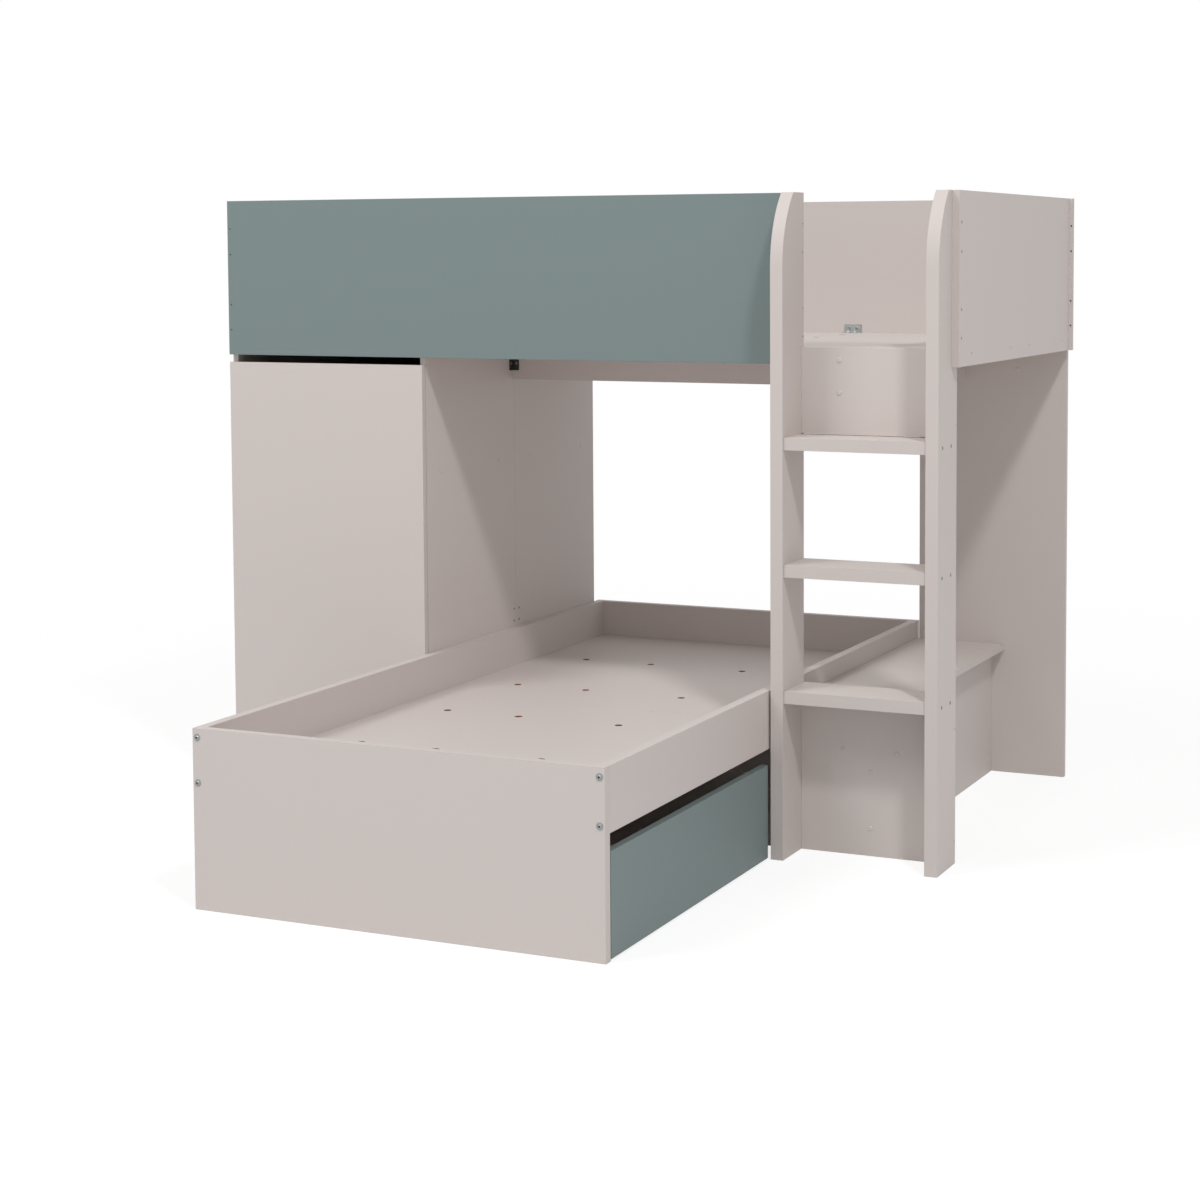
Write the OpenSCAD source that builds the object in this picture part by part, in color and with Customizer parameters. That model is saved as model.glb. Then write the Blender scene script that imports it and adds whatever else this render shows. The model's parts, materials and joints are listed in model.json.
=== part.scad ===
// L shaped bunk bed: a guarded upper bed over a wardrobe, a lower bed set
// crosswise under it with a rolling drawer, a ladder and a low side box.
// All sizes are in millimetres. The construction frame used by every module
// has x = 0 at the left end of the upper bed, y = 0 at its front face and
// z = 0 on the floor; placed() moves it to the middle of the footprint.

/* [Overall] */
// Height from the floor to the top of the guards
total_h = 1600; // [1450:1:1800]
// Height of the boards round the upper bed
guard_h = 413; // [330:1:460]
// Inner depth of the upper bed, from front board to rear board
upper_depth = 967; // [850:1:1200]
// Width of the wardrobe under the upper bed
wardrobe_w = 600; // [480:1:750]
// Inner width of the lower bed
lower_inner_w = 967; // [800:1:1200]
// Inner length of the lower bed
lower_inner_l = 2008; // [1700:1:2200]
// How far the lower bed stands out in front of the upper bed
lower_forward = 1018; // [850:1:1100]

/* [Boards] */
// Thickness of the guards, ladder panels and drawer front
panel_t = 18; // [15:1:22]
// Thickness of the wardrobe boards
carcass_t = 16; // [15:1:19]
// Thickness of the lower bed's foot and head panels
bed_end_t = 22; // [18:1:28]
// Thickness of the lower bed's side rails and cross panel
bed_rail_t = 25; // [20:1:30]
// Thickness of the upper platform boards
upper_platform_t = 22; // [18:1:25]
// Thickness of the lower platform boards
lower_platform_t = 16; // [12:1:19]
// Thickness of the wardrobe's back panel
back_t = 3; // [3:0.5:6]

/* [Ladder] */
// Thickness of the two ladder stiles
stile_t = 31.5; // [25:0.5:36]
// How far the stiles stand out in front of the upper bed
stile_out = 123.3; // [100:0.1:150]
// Width left at the top of a stile, above its curve
stile_top_w = 68; // [50:1:90]
// Radius of the curve at a stile's top front corner
stile_arc_r = 254; // [200:1:300]
// Clear width between the stiles
ladder_clear_w = 354; // [300:1:450]
// Gap between the lower bed and the left stile
ladder_gap = 5.7; // [3:0.1:12]
// Thickness of a rung
rung_t = 30; // [22:1:34]
// Height of the lowest rung's underside
first_rung_z = 380; // [300:1:400]
// Gap between the top rung and the panel above it
rung_panel_gap = 2; // [1:0.5:6]
// How far a rung's front edge lies behind the stile's front edge
rung_setback = 5; // [2:1:12]
// Height of the panel between the stiles below the upper bed
ladder_top_panel_h = 208; // [180:1:230]

/* [Upper bed] */
// Height of the battens under the platform
cleat_h = 19; // [15:1:25]
// Width of the battens under the platform
cleat_w = 25; // [18:1:30]
// Height of the platform's middle rail and cross bearer
bearer_h = 100; // [70:1:120]
// Distance of the cross bearer from the left stile's left face
bearer_offset = 120; // [100:1:160]
// How far the rear guard passes the right end panel
rear_guard_over = 8; // [4:1:15]
// How far the right end panel laps the stile, in front of the ladder panel
end_lap = 25; // [15:1:40]
// How far the rear support panel laps the rear guard
support_lap = 53; // [30:1:60]
// Width of the rear support panel
support_w = 420.5; // [380:0.5:424]
// Distance of the rear support panel from the end panel's outer face
support_inset = 10; // [6:1:17]
// Diameter of the ventilation holes in the platforms
vent_d = 20; // [12:1:30]

/* [Wardrobe] */
// Finger gap between the door and the upper front guard
door_gap = 20; // [15:1:30]
// Height of the plinth under the wardrobe
plinth_h = 60; // [40:1:90]
// Depth from the wardrobe side's top to the middle of the shelves
shelf_drop = 303; // [250:1:360]
// Distance of the back panel's front face from the rear
back_inset = 13; // [8:1:20]
// Depth of the front half of a wardrobe side
side_front_d = 485.5; // [420:0.5:520]
// Depth of a wardrobe shelf
shelf_d = 450; // [380:1:470]
// Diameter of the hanging rail
hanging_rail_d = 25; // [20:1:30]
// Drop from the shelf to the middle of the hanging rail
hanging_drop = 48; // [40:1:70]

/* [Door hinges] */
// Diameter of a hinge cup
cup_d = 35; // [30:1:35]
// Depth of a hinge cup
cup_depth = 11; // [9:0.5:12]
// Distance of a cup's centre from the door's edge
cup_edge = 22.5; // [21:0.5:25]
// Distance of the outer hinges from the door's ends
hinge_end = 100; // [80:1:140]
// Distance of the hinge axis from the door's edge and from its front face
axis_in = 2.8; // [1:0.1:2.8]
// Gap between the shut door and the edge of the wardrobe side
door_rear_gap = 0.8; // [0.8:0.1:2]

/* [Lower bed] */
// Height of the lower bed's boards above the floor
lower_h = 409; // [370:1:450]
// Height of the lower bed's side rails
lower_rail_h = 141; // [120:1:150]
// Height of the lower platform's top
lower_platform_z = 307; // [299:1:320]
// Gap between the wardrobe and the lower bed
bed_gap = 0.3; // [0.3:0.1:1]

/* [Low box] */
// Distance from the left stile's left face to the box side
low_box_offset = 200; // [160:1:240]
// Height of the low box's top face
low_box_h = 362; // [300:1:375]
// How far the top board passes the box side
low_box_over = 36; // [10:1:45]
// Distance of the divider's middle from the upper bed's front face
divider_y = 643; // [400:1:800]

/* [Drawer] */
// Height of the drawer front
drawer_front_h = 226; // [180:1:240]
// Height of the drawer front's lower edge above the floor
drawer_floor_gap = 4; // [3:1:10]
// Room left between the drawer box and the lower bed's far side
drawer_back_gap = 119; // [60:1:300]
// Height of the drawer's side and back boards
drawer_side_h = 160; // [100:1:164]
// Thickness of the drawer's side and back boards
drawer_side_t = 16; // [12:1:18]
// Thickness of the drawer bottom
drawer_bottom_t = 8; // [3:1:10]
// Inset of the drawer box from the ends of its front
drawer_inset = 14; // [8:1:30]
// Radius of the castor wheels
wheel_r = 20; // [15:0.5:22]
// Width of a castor wheel's tread
wheel_w = 14; // [10:1:20]

/* [Fasteners] */
// Shank diameter of the panel screws
screw_d = 5; // [4:0.5:6]
// Head diameter of the panel screws
screw_head_d = 8; // [7:0.5:9]
// Diameter of the plastic cover caps
cap_d = 13; // [10:0.5:15]
// Thread diameter of the lower bed's bolts
bolt_d = 6; // [5:1:8]
// Flange diameter of the bolt heads
bolt_head_d = 16.5; // [14:0.5:18]

/* [Clearances] */
// Gap between the moving door or drawer and what it closes against
run_gap = 0.3; // [0.3:0.1:1]
// Gap at each end of the drawer front
drawer_gap = 3; // [2:0.5:6]
// Gap at a seam between two platform boards or side halves
seam = 0.4; // [0.2:0.1:0.8]
// Radial gap round a fastener in its hole
fit = 0.05; // [0.02:0.01:0.1]

/* [Hidden] */

// Colours of the boards, trims and metal parts
greige = [0.80, 0.76, 0.74];
teal = [0.50, 0.55, 0.54];
zinc = [0.70, 0.71, 0.73];
dark_grey = [0.22, 0.22, 0.23];
hardboard = [0.62, 0.50, 0.38];

// Rotations that turn a fastener's head, drawn facing +z, to a side
face_front = [90, 0, 0];
face_rear = [-90, 0, 0];
face_left = [0, -90, 0];
face_right = [0, 90, 0];
face_up = [0, 0, 0];

cut = 1; // overshoot of a cutting body
round_fn = 48;
head_fn = 32;

// Upper bed
guard_z = total_h - guard_h;
platform_z = guard_z + cleat_h;
platform_top_z = platform_z + upper_platform_t;
bearer_z = platform_z - bearer_h;
inner_front_y = panel_t;
inner_rear_y = panel_t + upper_depth;
rear_y = inner_rear_y + panel_t;

// Lower bed
bed_x0 = wardrobe_w + bed_gap;
bed_x1 = bed_x0 + lower_inner_w + 2 * bed_rail_t;
bed_inner_x0 = bed_x0 + bed_rail_t;
bed_inner_x1 = bed_x1 - bed_rail_t;
bed_mid_x = (bed_x0 + bed_x1) / 2;
foot_y = -lower_forward;
bed_inner_y0 = foot_y + bed_end_t;
bed_inner_y1 = bed_inner_y0 + lower_inner_l;
bed_mid_y = (bed_inner_y0 + bed_inner_y1) / 2;
lower_rail_z = lower_h - lower_rail_h;
lower_platform_under = lower_platform_z - lower_platform_t;

// Ladder
stile_x0 = bed_x1 + ladder_gap;
stile_left_x1 = stile_x0 + stile_t;
stile_right_x0 = stile_left_x1 + ladder_clear_w;
stile_right_x1 = stile_right_x0 + stile_t;
ladder_mid_x = (stile_left_x1 + stile_right_x0) / 2;
rung_front_y = rung_setback - stile_out;
ladder_top_z = platform_top_z - ladder_top_panel_h;
top_rung_z = ladder_top_z - rung_panel_gap - rung_t;
rung_pitch = (top_rung_z - first_rung_z) / 2;
rung_z = [for (i = [0:2]) first_rung_z + i * rung_pitch];

// Right end of the upper bed
end_x0 = stile_right_x1;
end_x1 = end_x0 + panel_t;
rear_guard_x1 = end_x1 + rear_guard_over;
bearer_x = stile_x0 + bearer_offset;
bearer_mid_x = bearer_x + panel_t / 2;
support_x1 = end_x1 - support_inset;
support_x0 = support_x1 - support_w;
support_h = guard_z + support_lap;
support_rear_y = rear_y + panel_t;

// Upper platform
platform_x0 = panel_t;
platform_x1 = end_x0;
platform_mid_x = (platform_x0 + platform_x1) / 2;
platform_mid_y = (inner_front_y + inner_rear_y) / 2;
vent_off_across = [-340, -138, 138, 340];
vent_off_upper = 423;
vent_off_lower = [188, 599];

// Wardrobe
side_seam_y = inner_front_y + side_front_d;
right_side_x0 = wardrobe_w - carcass_t;
bottom_top_z = plinth_h + carcass_t;
groove_d = 7;
groove_y = rear_y - back_inset;
shelf_front_y = inner_front_y + 12;
shelf_mid_z = guard_z - shelf_drop;
shelf_z = shelf_mid_z - carcass_t / 2;
rail_z = shelf_z - hanging_drop;
rail_y = shelf_front_y + shelf_d / 2;
socket_t = 3;
socket_wall = 3;
socket_collar_h = 12;
rail_screw_d = 3;
rail_screw_l = 14;
rail_screw_r = hanging_rail_d / 2 + socket_wall + rail_screw_d + 1.5;
socket_flange_d = 2 * rail_screw_r + 8;
plate_size = [50, 60];
plate_t = 2;
plate_mid_z = [lower_h + 33];

// Door and its hinges
door_x0 = 0.5;
door_x1 = wardrobe_w - 1.3;
door_rear_y = inner_front_y - door_rear_gap;
door_front_y = door_rear_y - carcass_t;
door_z0 = plinth_h + 4;
door_z1 = guard_z - door_gap;
cup_x = door_x0 + cup_edge;
hinge_z = [door_z0 + hinge_end, (door_z0 + door_z1) / 2, door_z1 - hinge_end];
cup_wall = 1.5;
cup_flange_t = 1.2;
cup_ear = [9.5, 22.5];
cup_ear_d = 12;
cup_screw_d = 3.5;
cup_screw_l = 13;
link_pivot = [door_x0 + 48, door_rear_y + 6.2];
link_tip = [door_x0 + 9.4, door_rear_y - 6.6];
link_t = 2;
link_w = 8;
link_eye_d = 7;
link_tip_d = 3;
pivot_pin_d = 4;
pivot_fit = 0.08;
arm_sheet = 1.2;
arm_w = 14;
arm_rear_y = inner_front_y + 78;
mount_plate_t = 2;
arm_low_x = carcass_t + mount_plate_t;
arm_high_x = arm_low_x + 14;
mount_plate_y = inner_front_y + 37;
mount_plate_size = [16, 48];
mount_block = [6, 42];
mount_screw_dz = 16;
mount_screw_l = 13;

// Low box
low_side_x0 = stile_x0 + low_box_offset;
low_side_x1 = low_side_x0 + panel_t;
low_top_z0 = low_box_h - carcass_t;
low_top_x0 = bed_x1 + run_gap;
low_top_x1 = low_side_x1 + low_box_over;

// Drawer
drawer_x1 = bed_x1;
drawer_box_x1 = drawer_x1 - panel_t;
drawer_box_x0 = bed_x0 + drawer_back_gap;
drawer_depth = drawer_box_x1 - drawer_box_x0;
drawer_y0 = bed_inner_y0 + drawer_gap;
drawer_y1 = -stile_out - drawer_gap;
drawer_box_y0 = drawer_y0 + drawer_inset;
drawer_box_y1 = drawer_y1 - drawer_inset;
castor_h = 2 * wheel_r + 4;
drawer_side_z = castor_h + drawer_bottom_t;
castor_inset = 70;
castor_xy = [
    [drawer_box_x1 - castor_inset, drawer_box_y0 + castor_inset],
    [drawer_box_x1 - castor_inset, drawer_box_y1 - castor_inset],
    [drawer_box_x0 + castor_inset, drawer_box_y0 + castor_inset],
    [drawer_box_x0 + castor_inset, drawer_box_y1 - castor_inset]
];
stub_d = 8;
stub_fit = 0.1;
cheek_t = 4;
cheek_gap = 0.5;
castor_plate = 56;
castor_plate_t = 3;

// Fasteners: each entry is [seat of the head, rotation, length]
head_h = 0.8;
cap_h = 1.8;
bolt_head_h = 3.5;
bolt_l = 60;
insert_d = 10;
insert_l = 20;
guard_screw_z = [for (d = [74.5, 143, 278.5, 345.5]) total_h - d];
end_y0 = -end_lap;
lap_screw_y = end_y0 + 18.4;
platform_screw_z = platform_z + upper_platform_t / 2;
platform_screw_y = [for (d = [57, 395, 563, 896]) inner_front_y + d];
shelf_screw_y = [for (d = [62, 383]) shelf_front_y + d];
rear_shelf_y0 = side_seam_y + 34;
rear_shelf_screw_y = [for (d = [62, 383]) rear_shelf_y0 + d];
rung_screw_y = [for (d = [31, 97]) d - stile_out];

guard_left_screws = [for (z = guard_screw_z) [[panel_t / 2, 0, z], face_front, 50]];
guard_right_screws = [for (z = guard_screw_z)
    [[stile_left_x1, panel_t / 2, z], face_right, stile_t + 30]];
end_lap_screws = [for (z = guard_screw_z) [[end_x1, lap_screw_y, z], face_right, panel_t + 24]];
end_platform_screws = [for (y = platform_screw_y)
    [[end_x1, y, platform_screw_z], face_right, panel_t + 32]];
left_platform_screws = [for (y = platform_screw_y)
    [[0, y, platform_screw_z], face_left, panel_t + 32]];
rear_left_screws = [for (z = guard_screw_z) [[panel_t / 2, rear_y, z], face_rear, 50]];
rear_right_screws = [for (z = guard_screw_z)
    [[end_x0 + panel_t / 2, rear_y, z], face_rear, 50]];
rear_spare_holes = [for (z = guard_screw_z) [[end_x1 + 4.5, inner_rear_y, z], face_front, 10]];
stile_panel_z = [ladder_top_z + 30, platform_top_z - 30];
stile_low_z = [55, first_rung_z - 55];
left_stile_top_screws = [for (z = stile_panel_z)
    [[stile_x0, panel_t / 2, z], face_left, stile_t + 25]];
right_stile_top_screws = [for (z = stile_panel_z)
    [[stile_right_x1, panel_t / 2, z], face_right, stile_t + 25]];
left_stile_low_screws = [for (z = stile_low_z)
    [[stile_x0, panel_t / 2, z], face_left, stile_t + 25]];
right_stile_low_screws = [for (z = stile_low_z)
    [[stile_right_x1, panel_t / 2, z], face_right, stile_t + 25]];
function rung_screws_left(i) = [for (y = rung_screw_y)
    [[stile_x0, y, rung_z[i] + rung_t / 2], face_left, stile_t + 30]];
function rung_screws_right(i) = [for (y = rung_screw_y)
    [[stile_right_x1, y, rung_z[i] + rung_t / 2], face_right, stile_t + 30]];
all_rung_screws_left = [for (i = [0:2]) each rung_screws_left(i)];
all_rung_screws_right = [for (i = [0:2]) each rung_screws_right(i)];

// Screws whose flush heads lie under a cover cap
bearer_front_z = [platform_top_z - 30, ladder_top_z + 100];
bearer_front_screws = [for (z = bearer_front_z) [[bearer_mid_x, 0, z], face_front, 50]];
bearer_rear_z = [bearer_z + 26, bearer_z + 74];
bearer_rear_screws = [for (z = bearer_rear_z)
    [[bearer_mid_x, support_rear_y, z], face_rear, 50]];
low_front_screws = [for (z = [68, 205.5])
    [[low_side_x0 + panel_t / 2, 0, z], face_front, 50]];
low_rear_screws = [for (z = [68, 205.5])
    [[low_side_x0 + panel_t / 2, support_rear_y, z], face_rear, 50]];
divider_screws = [[[low_side_x1, divider_y, 188], face_right, 50]];
support_guard_screws = [for (x = [support_x0 + 40, (support_x0 + support_x1) / 2, support_x1 - 40])
    [[x, support_rear_y, (guard_z + support_h) / 2], face_rear, 32]];
shelf_right_screws = [for (y = concat(shelf_screw_y, rear_shelf_screw_y))
    [[wardrobe_w, y, shelf_mid_z], face_right, 50]];
shelf_left_screws = [for (y = concat(shelf_screw_y, rear_shelf_screw_y))
    [[0, y, shelf_mid_z], face_left, 50]];
bottom_mid_z = plinth_h + carcass_t / 2;
bottom_right_screws = [for (y = concat(shelf_screw_y, rear_shelf_screw_y))
    [[wardrobe_w, y, bottom_mid_z], face_right, 50]];
bottom_left_screws = [for (y = concat(shelf_screw_y, rear_shelf_screw_y))
    [[0, y, bottom_mid_z], face_left, 50]];
spare_low_caps = [for (s = [-1, 1]) [[ladder_mid_x + s * 68, 0, 255], face_front, 8]];
spare_support_cap = [[[2 * ladder_mid_x - bearer_mid_x, rear_y, bearer_rear_z[0]], face_front, 8]];

// Screws through the plates that join the halves of each wardrobe side
plate_screw_dy = [-11, 18.5];
plate_screw_dz = [-16.5, 16.5];
plate_right_screws = [for (zc = plate_mid_z, dy = plate_screw_dy, dz = plate_screw_dz)
    [[wardrobe_w, side_seam_y + dy, zc + dz], face_right, carcass_t + plate_t]];
plate_left_screws = [for (zc = plate_mid_z, dy = plate_screw_dy, dz = plate_screw_dz)
    [[0, side_seam_y + dy, zc + dz], face_left, carcass_t + plate_t]];

// Bolts of the lower bed
bolt_z = [lower_h - 20.5, lower_rail_z + 18.5];
bolt_x = [bed_x0 + bed_rail_t / 2, bed_x1 - bed_rail_t / 2];
foot_bolts = [for (x = bolt_x, z = bolt_z) [[x, foot_y, z], face_front, bolt_l]];
head_y = bed_inner_y1 + bed_end_t;
head_bolts = [for (x = bolt_x, z = bolt_z) [[x, head_y, z], face_rear, bolt_l]];

// Angle brackets on the platform, seen from above, and at the middle rail
bracket_w = 52;
bracket_leg = 24;
bracket_t = 2;
bracket_x = [stile_x0 - 215];
mid_rail_shift = 4.5;
corner_leg = 20;
corner_h = 40;
corner_t = 3;
corner_z = bearer_z + 25;
mid_rail_y = platform_mid_y - panel_t / 2 + mid_rail_shift;
bracket_screw_l = 14;
rear_bracket_screws = [for (x = bracket_x, dx = [16, 36])
    [[x + dx, inner_rear_y - bracket_t, platform_top_z + 14], face_front, bracket_screw_l]];
front_bracket_screws = [for (x = bracket_x, dx = [16, 36])
    [[x + dx, inner_front_y + bracket_t, platform_top_z + 14], face_rear, bracket_screw_l]];
rear_bracket_down = [for (x = bracket_x, dx = [16, 36])
    [[x + dx, inner_rear_y - 14, platform_top_z + bracket_t], face_up, bracket_screw_l]];
front_bracket_down = [for (x = bracket_x, dx = [16, 36])
    [[x + dx, inner_front_y + 14, platform_top_z + bracket_t], face_up, bracket_screw_l]];
corner_screws = [
    [[wardrobe_w + corner_t, mid_rail_y - 12, corner_z + corner_h / 2], face_right, 16],
    [[wardrobe_w + 12, mid_rail_y - corner_t, corner_z + corner_h / 2], face_front, 16],
    [[bearer_x - corner_t, mid_rail_y - 12, corner_z + corner_h / 2], face_left, 16],
    [[bearer_x - 12, mid_rail_y - corner_t, corner_z + corner_h / 2], face_front, 16]
];

// Middle of the footprint, with the outermost heads counted in
origin_x = (rear_guard_x1 - head_h) / 2;
origin_y = (foot_y + head_y) / 2;

module placed() {
    translate([-origin_x, -origin_y, 0]) children();
}

// ---------------------------------------------------------------- fasteners

module put(entry) {
    translate(entry[0]) rotate(entry[1]) children();
}

// Round holes for a list of fasteners, a little past their tips
module holes(list, d = screw_d) {
    for (e = list) put(e)
        translate([0, 0, -e[2] - fit]) cylinder(d = d + 2 * fit, h = e[2] + fit + cut, $fn = head_fn);
}

// Screw with a low domed head seated on the board
module domed_screw(len) {
    r = screw_d / 2;
    rh = screw_head_d / 2;
    rotate_extrude($fn = head_fn)
        polygon([[0, -len], [r, -len + 2 * r], [r, 0], [rh, 0], [rh, head_h * 0.4],
                 [rh * 0.6, head_h], [0, head_h]]);
}

// Screw whose head lies flush with the board
module flush_screw(len) {
    r = screw_d / 2;
    rotate_extrude($fn = head_fn)
        polygon([[0, -len], [r, -len + 2 * r], [r, 0], [0, 0]]);
}

module domed_screws(list) {
    for (e = list) put(e) domed_screw(e[2]);
}

module flush_screws(list) {
    for (e = list) put(e) flush_screw(e[2]);
}

// Flat cover cap with a rounded rim
module cap() {
    r = cap_d / 2;
    rotate_extrude($fn = head_fn)
        polygon([[0, 0], [r, 0], [r, cap_h * 0.35], [r * 0.82, cap_h * 0.85], [r * 0.5, cap_h], [0, cap_h]]);
}

// ------------------------------------------------------------------- boards

module board(at, size) {
    translate(at) cube(size);
}

// --------------------------------------------------------------- upper bed

module upper_front_guard() color(teal) placed()
    difference() {
        board([0, 0, guard_z], [stile_x0, panel_t, guard_h]);
        holes(guard_left_screws);
        holes(guard_right_screws);
        holes(front_bracket_screws);
    }

module upper_left_end() color(greige) placed()
    difference() {
        board([0, inner_front_y, guard_z], [panel_t, upper_depth, guard_h]);
        holes(guard_left_screws);
        holes(rear_left_screws);
        holes(left_platform_screws);
    }

module upper_right_end() color(greige) placed()
    difference() {
        board([end_x0, end_y0, guard_z], [panel_t, inner_rear_y - end_y0, guard_h]);
        holes(end_lap_screws);
        holes(end_platform_screws);
        holes(rear_right_screws);
    }

module upper_rear_guard() color(greige) placed()
    difference() {
        board([0, inner_rear_y, guard_z], [rear_guard_x1, panel_t, guard_h]);
        holes(rear_left_screws);
        holes(rear_right_screws);
        holes(rear_spare_holes);
        holes(rear_bracket_screws);
        holes(support_guard_screws);
    }

// Ventilation holes of the upper platform on one side of its middle
module upper_vents(side) {
    for (dy = vent_off_across)
        translate([platform_mid_x + side * vent_off_upper, platform_mid_y + dy, platform_z - cut])
            cylinder(d = vent_d, h = upper_platform_t + 2 * cut, $fn = round_fn);
}

module upper_platform_left() color(greige) placed()
    difference() {
        board([platform_x0, inner_front_y, platform_z],
              [platform_mid_x - seam / 2 - platform_x0, upper_depth, upper_platform_t]);
        upper_vents(-1);
        holes(left_platform_screws);
        holes(rear_bracket_down);
        holes(front_bracket_down);
    }

module upper_platform_right() color(greige) placed()
    difference() {
        board([platform_mid_x + seam / 2, inner_front_y, platform_z],
              [platform_x1 - platform_mid_x - seam / 2, upper_depth, upper_platform_t]);
        upper_vents(1);
        holes(end_platform_screws);
        holes(rear_bracket_down);
        holes(front_bracket_down);
    }

module platform_mid_rail() color(greige) placed()
    difference() {
        board([wardrobe_w, mid_rail_y, bearer_z], [bearer_x - wardrobe_w, panel_t, bearer_h]);
        holes(corner_screws);
    }

// The bearer's rear top corner is notched for the rear guard
module platform_cross_bearer() color(greige) placed()
    difference() {
        board([bearer_x, inner_front_y, bearer_z], [panel_t, rear_y - inner_front_y, bearer_h]);
        board([bearer_x - cut, inner_rear_y, guard_z], [panel_t + 2 * cut, panel_t + cut, bearer_h]);
        holes(bearer_front_screws);
        holes(bearer_rear_screws);
        holes(corner_screws);
    }

// Battens between the uprights that cross under the platform
cleat_spans = [
    [platform_x0, right_side_x0],
    [wardrobe_w, bearer_x],
    [bearer_x + panel_t, platform_x1]
];

module cleats(y) {
    for (s = cleat_spans) board([s[0], y, guard_z], [s[1] - s[0], cleat_w, cleat_h]);
}

module upper_front_cleats() color(greige) placed() cleats(inner_front_y);

module upper_rear_cleats() color(greige) placed() cleats(inner_rear_y - cleat_w);

// ------------------------------------------------------------------ ladder

// Side outline of a stile: y to the right, z up, with its curved front top
module stile_outline() {
    arc_cy = stile_arc_r - stile_out;
    front_top_y = panel_t - stile_top_w;
    dy = arc_cy - front_top_y;
    arc_cz = total_h - sqrt(pow(stile_arc_r, 2) - pow(dy, 2));
    difference() {
        translate([-stile_out, 0]) square([stile_out + panel_t, total_h]);
        difference() {
            translate([-stile_out - cut, arc_cz]) square([front_top_y + stile_out + cut, total_h]);
            translate([arc_cy, arc_cz]) circle(r = stile_arc_r, $fn = 4 * round_fn);
        }
    }
}

module stile(x) {
    translate([x, 0, 0]) rotate([90, 0, 90]) linear_extrude(stile_t) stile_outline();
}

module ladder_stile_left() color(greige) placed()
    difference() {
        stile(stile_x0);
        holes(guard_right_screws);
        holes(left_stile_top_screws);
        holes(left_stile_low_screws);
        holes(all_rung_screws_left);
    }

module ladder_stile_right() color(greige) placed()
    difference() {
        stile(stile_right_x0);
        holes(end_lap_screws);
        holes(right_stile_top_screws);
        holes(right_stile_low_screws);
        holes(all_rung_screws_right);
    }

module rung(i) color(greige) placed()
    difference() {
        board([stile_left_x1, rung_front_y, rung_z[i]],
              [ladder_clear_w, panel_t - rung_front_y, rung_t]);
        holes(rung_screws_left(i));
        holes(rung_screws_right(i));
    }

module ladder_rung_lower() rung(0);

module ladder_rung_middle() rung(1);

module ladder_rung_upper() rung(2);

// The panel's lower edge stays just above the top rung
module ladder_top_panel() color(greige) placed()
    difference() {
        board([stile_left_x1, 0, ladder_top_z], [ladder_clear_w, panel_t, ladder_top_panel_h]);
        holes(left_stile_top_screws);
        holes(right_stile_top_screws);
        holes(bearer_front_screws);
    }

module ladder_bottom_panel() color(greige) placed()
    difference() {
        board([stile_left_x1, 0, 0], [ladder_clear_w, panel_t, first_rung_z]);
        holes(left_stile_low_screws);
        holes(right_stile_low_screws);
        holes(low_front_screws);
        holes(spare_low_caps);
    }

// ------------------------------------------------- rear support and low box

module rear_support_panel() color(greige) placed()
    difference() {
        board([support_x0, rear_y, 0], [support_w, panel_t, support_h]);
        holes(support_guard_screws);
        holes(bearer_rear_screws);
        holes(low_rear_screws);
        holes(spare_support_cap);
    }

module low_box_side() color(greige) placed()
    difference() {
        board([low_side_x0, inner_front_y, 0], [panel_t, rear_y - inner_front_y, low_top_z0]);
        holes(low_front_screws);
        holes(low_rear_screws);
        holes(divider_screws);
    }

module low_box_top() color(greige) placed()
    board([low_top_x0, inner_front_y, low_top_z0],
          [low_top_x1 - low_top_x0, rear_y - inner_front_y, carcass_t]);

module low_box_divider() color(greige) placed()
    difference() {
        board([low_top_x0 + cleat_w, divider_y - panel_t / 2, 0],
              [low_side_x0 - low_top_x0 - cleat_w, panel_t, low_top_z0]);
        holes(divider_screws);
    }

module low_box_cleat() color(greige) placed()
    board([low_top_x0, inner_front_y, low_top_z0 - cleat_w],
          [cleat_w, rear_y - inner_front_y, cleat_w]);

// ---------------------------------------------------------------- wardrobe

// One half of a side board; the rear half has the back panel's groove
module side_half(x, y0, y1, h) {
    board([x, y0, 0], [carcass_t, y1 - y0, h]);
}

module back_groove(x) {
    board([x, groove_y - fit, plinth_h - cut], [groove_d + fit, back_t + 2 * fit, total_h]);
}

module wardrobe_left_front() color(greige) placed()
    difference() {
        side_half(0, inner_front_y, side_seam_y - seam / 2, guard_z);
        holes(shelf_left_screws);
        holes(bottom_left_screws);
        holes(plate_left_screws);
        arm_screw_holes();
        rail_screw_holes(0);
    }

module wardrobe_left_rear() color(greige) placed()
    difference() {
        side_half(0, side_seam_y + seam / 2, rear_y, guard_z);
        back_groove(carcass_t - groove_d);
        holes(shelf_left_screws);
        holes(bottom_left_screws);
        holes(plate_left_screws);
    }

module wardrobe_right_front() color(greige) placed()
    difference() {
        side_half(right_side_x0, inner_front_y, side_seam_y - seam / 2, platform_z);
        holes(shelf_right_screws);
        holes(bottom_right_screws);
        holes(plate_right_screws);
        holes(corner_screws);
        rail_screw_holes(wardrobe_w);
    }

// Notched at the rear top corner, where the rear guard rests on it
module wardrobe_right_rear() color(greige) placed()
    difference() {
        side_half(right_side_x0, side_seam_y + seam / 2, rear_y, platform_z);
        board([right_side_x0 - cut, inner_rear_y, guard_z],
              [carcass_t + 2 * cut, panel_t + cut, total_h]);
        back_groove(right_side_x0 - fit);
        holes(shelf_right_screws);
        holes(bottom_right_screws);
        holes(plate_right_screws);
        holes(corner_screws);
    }

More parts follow.
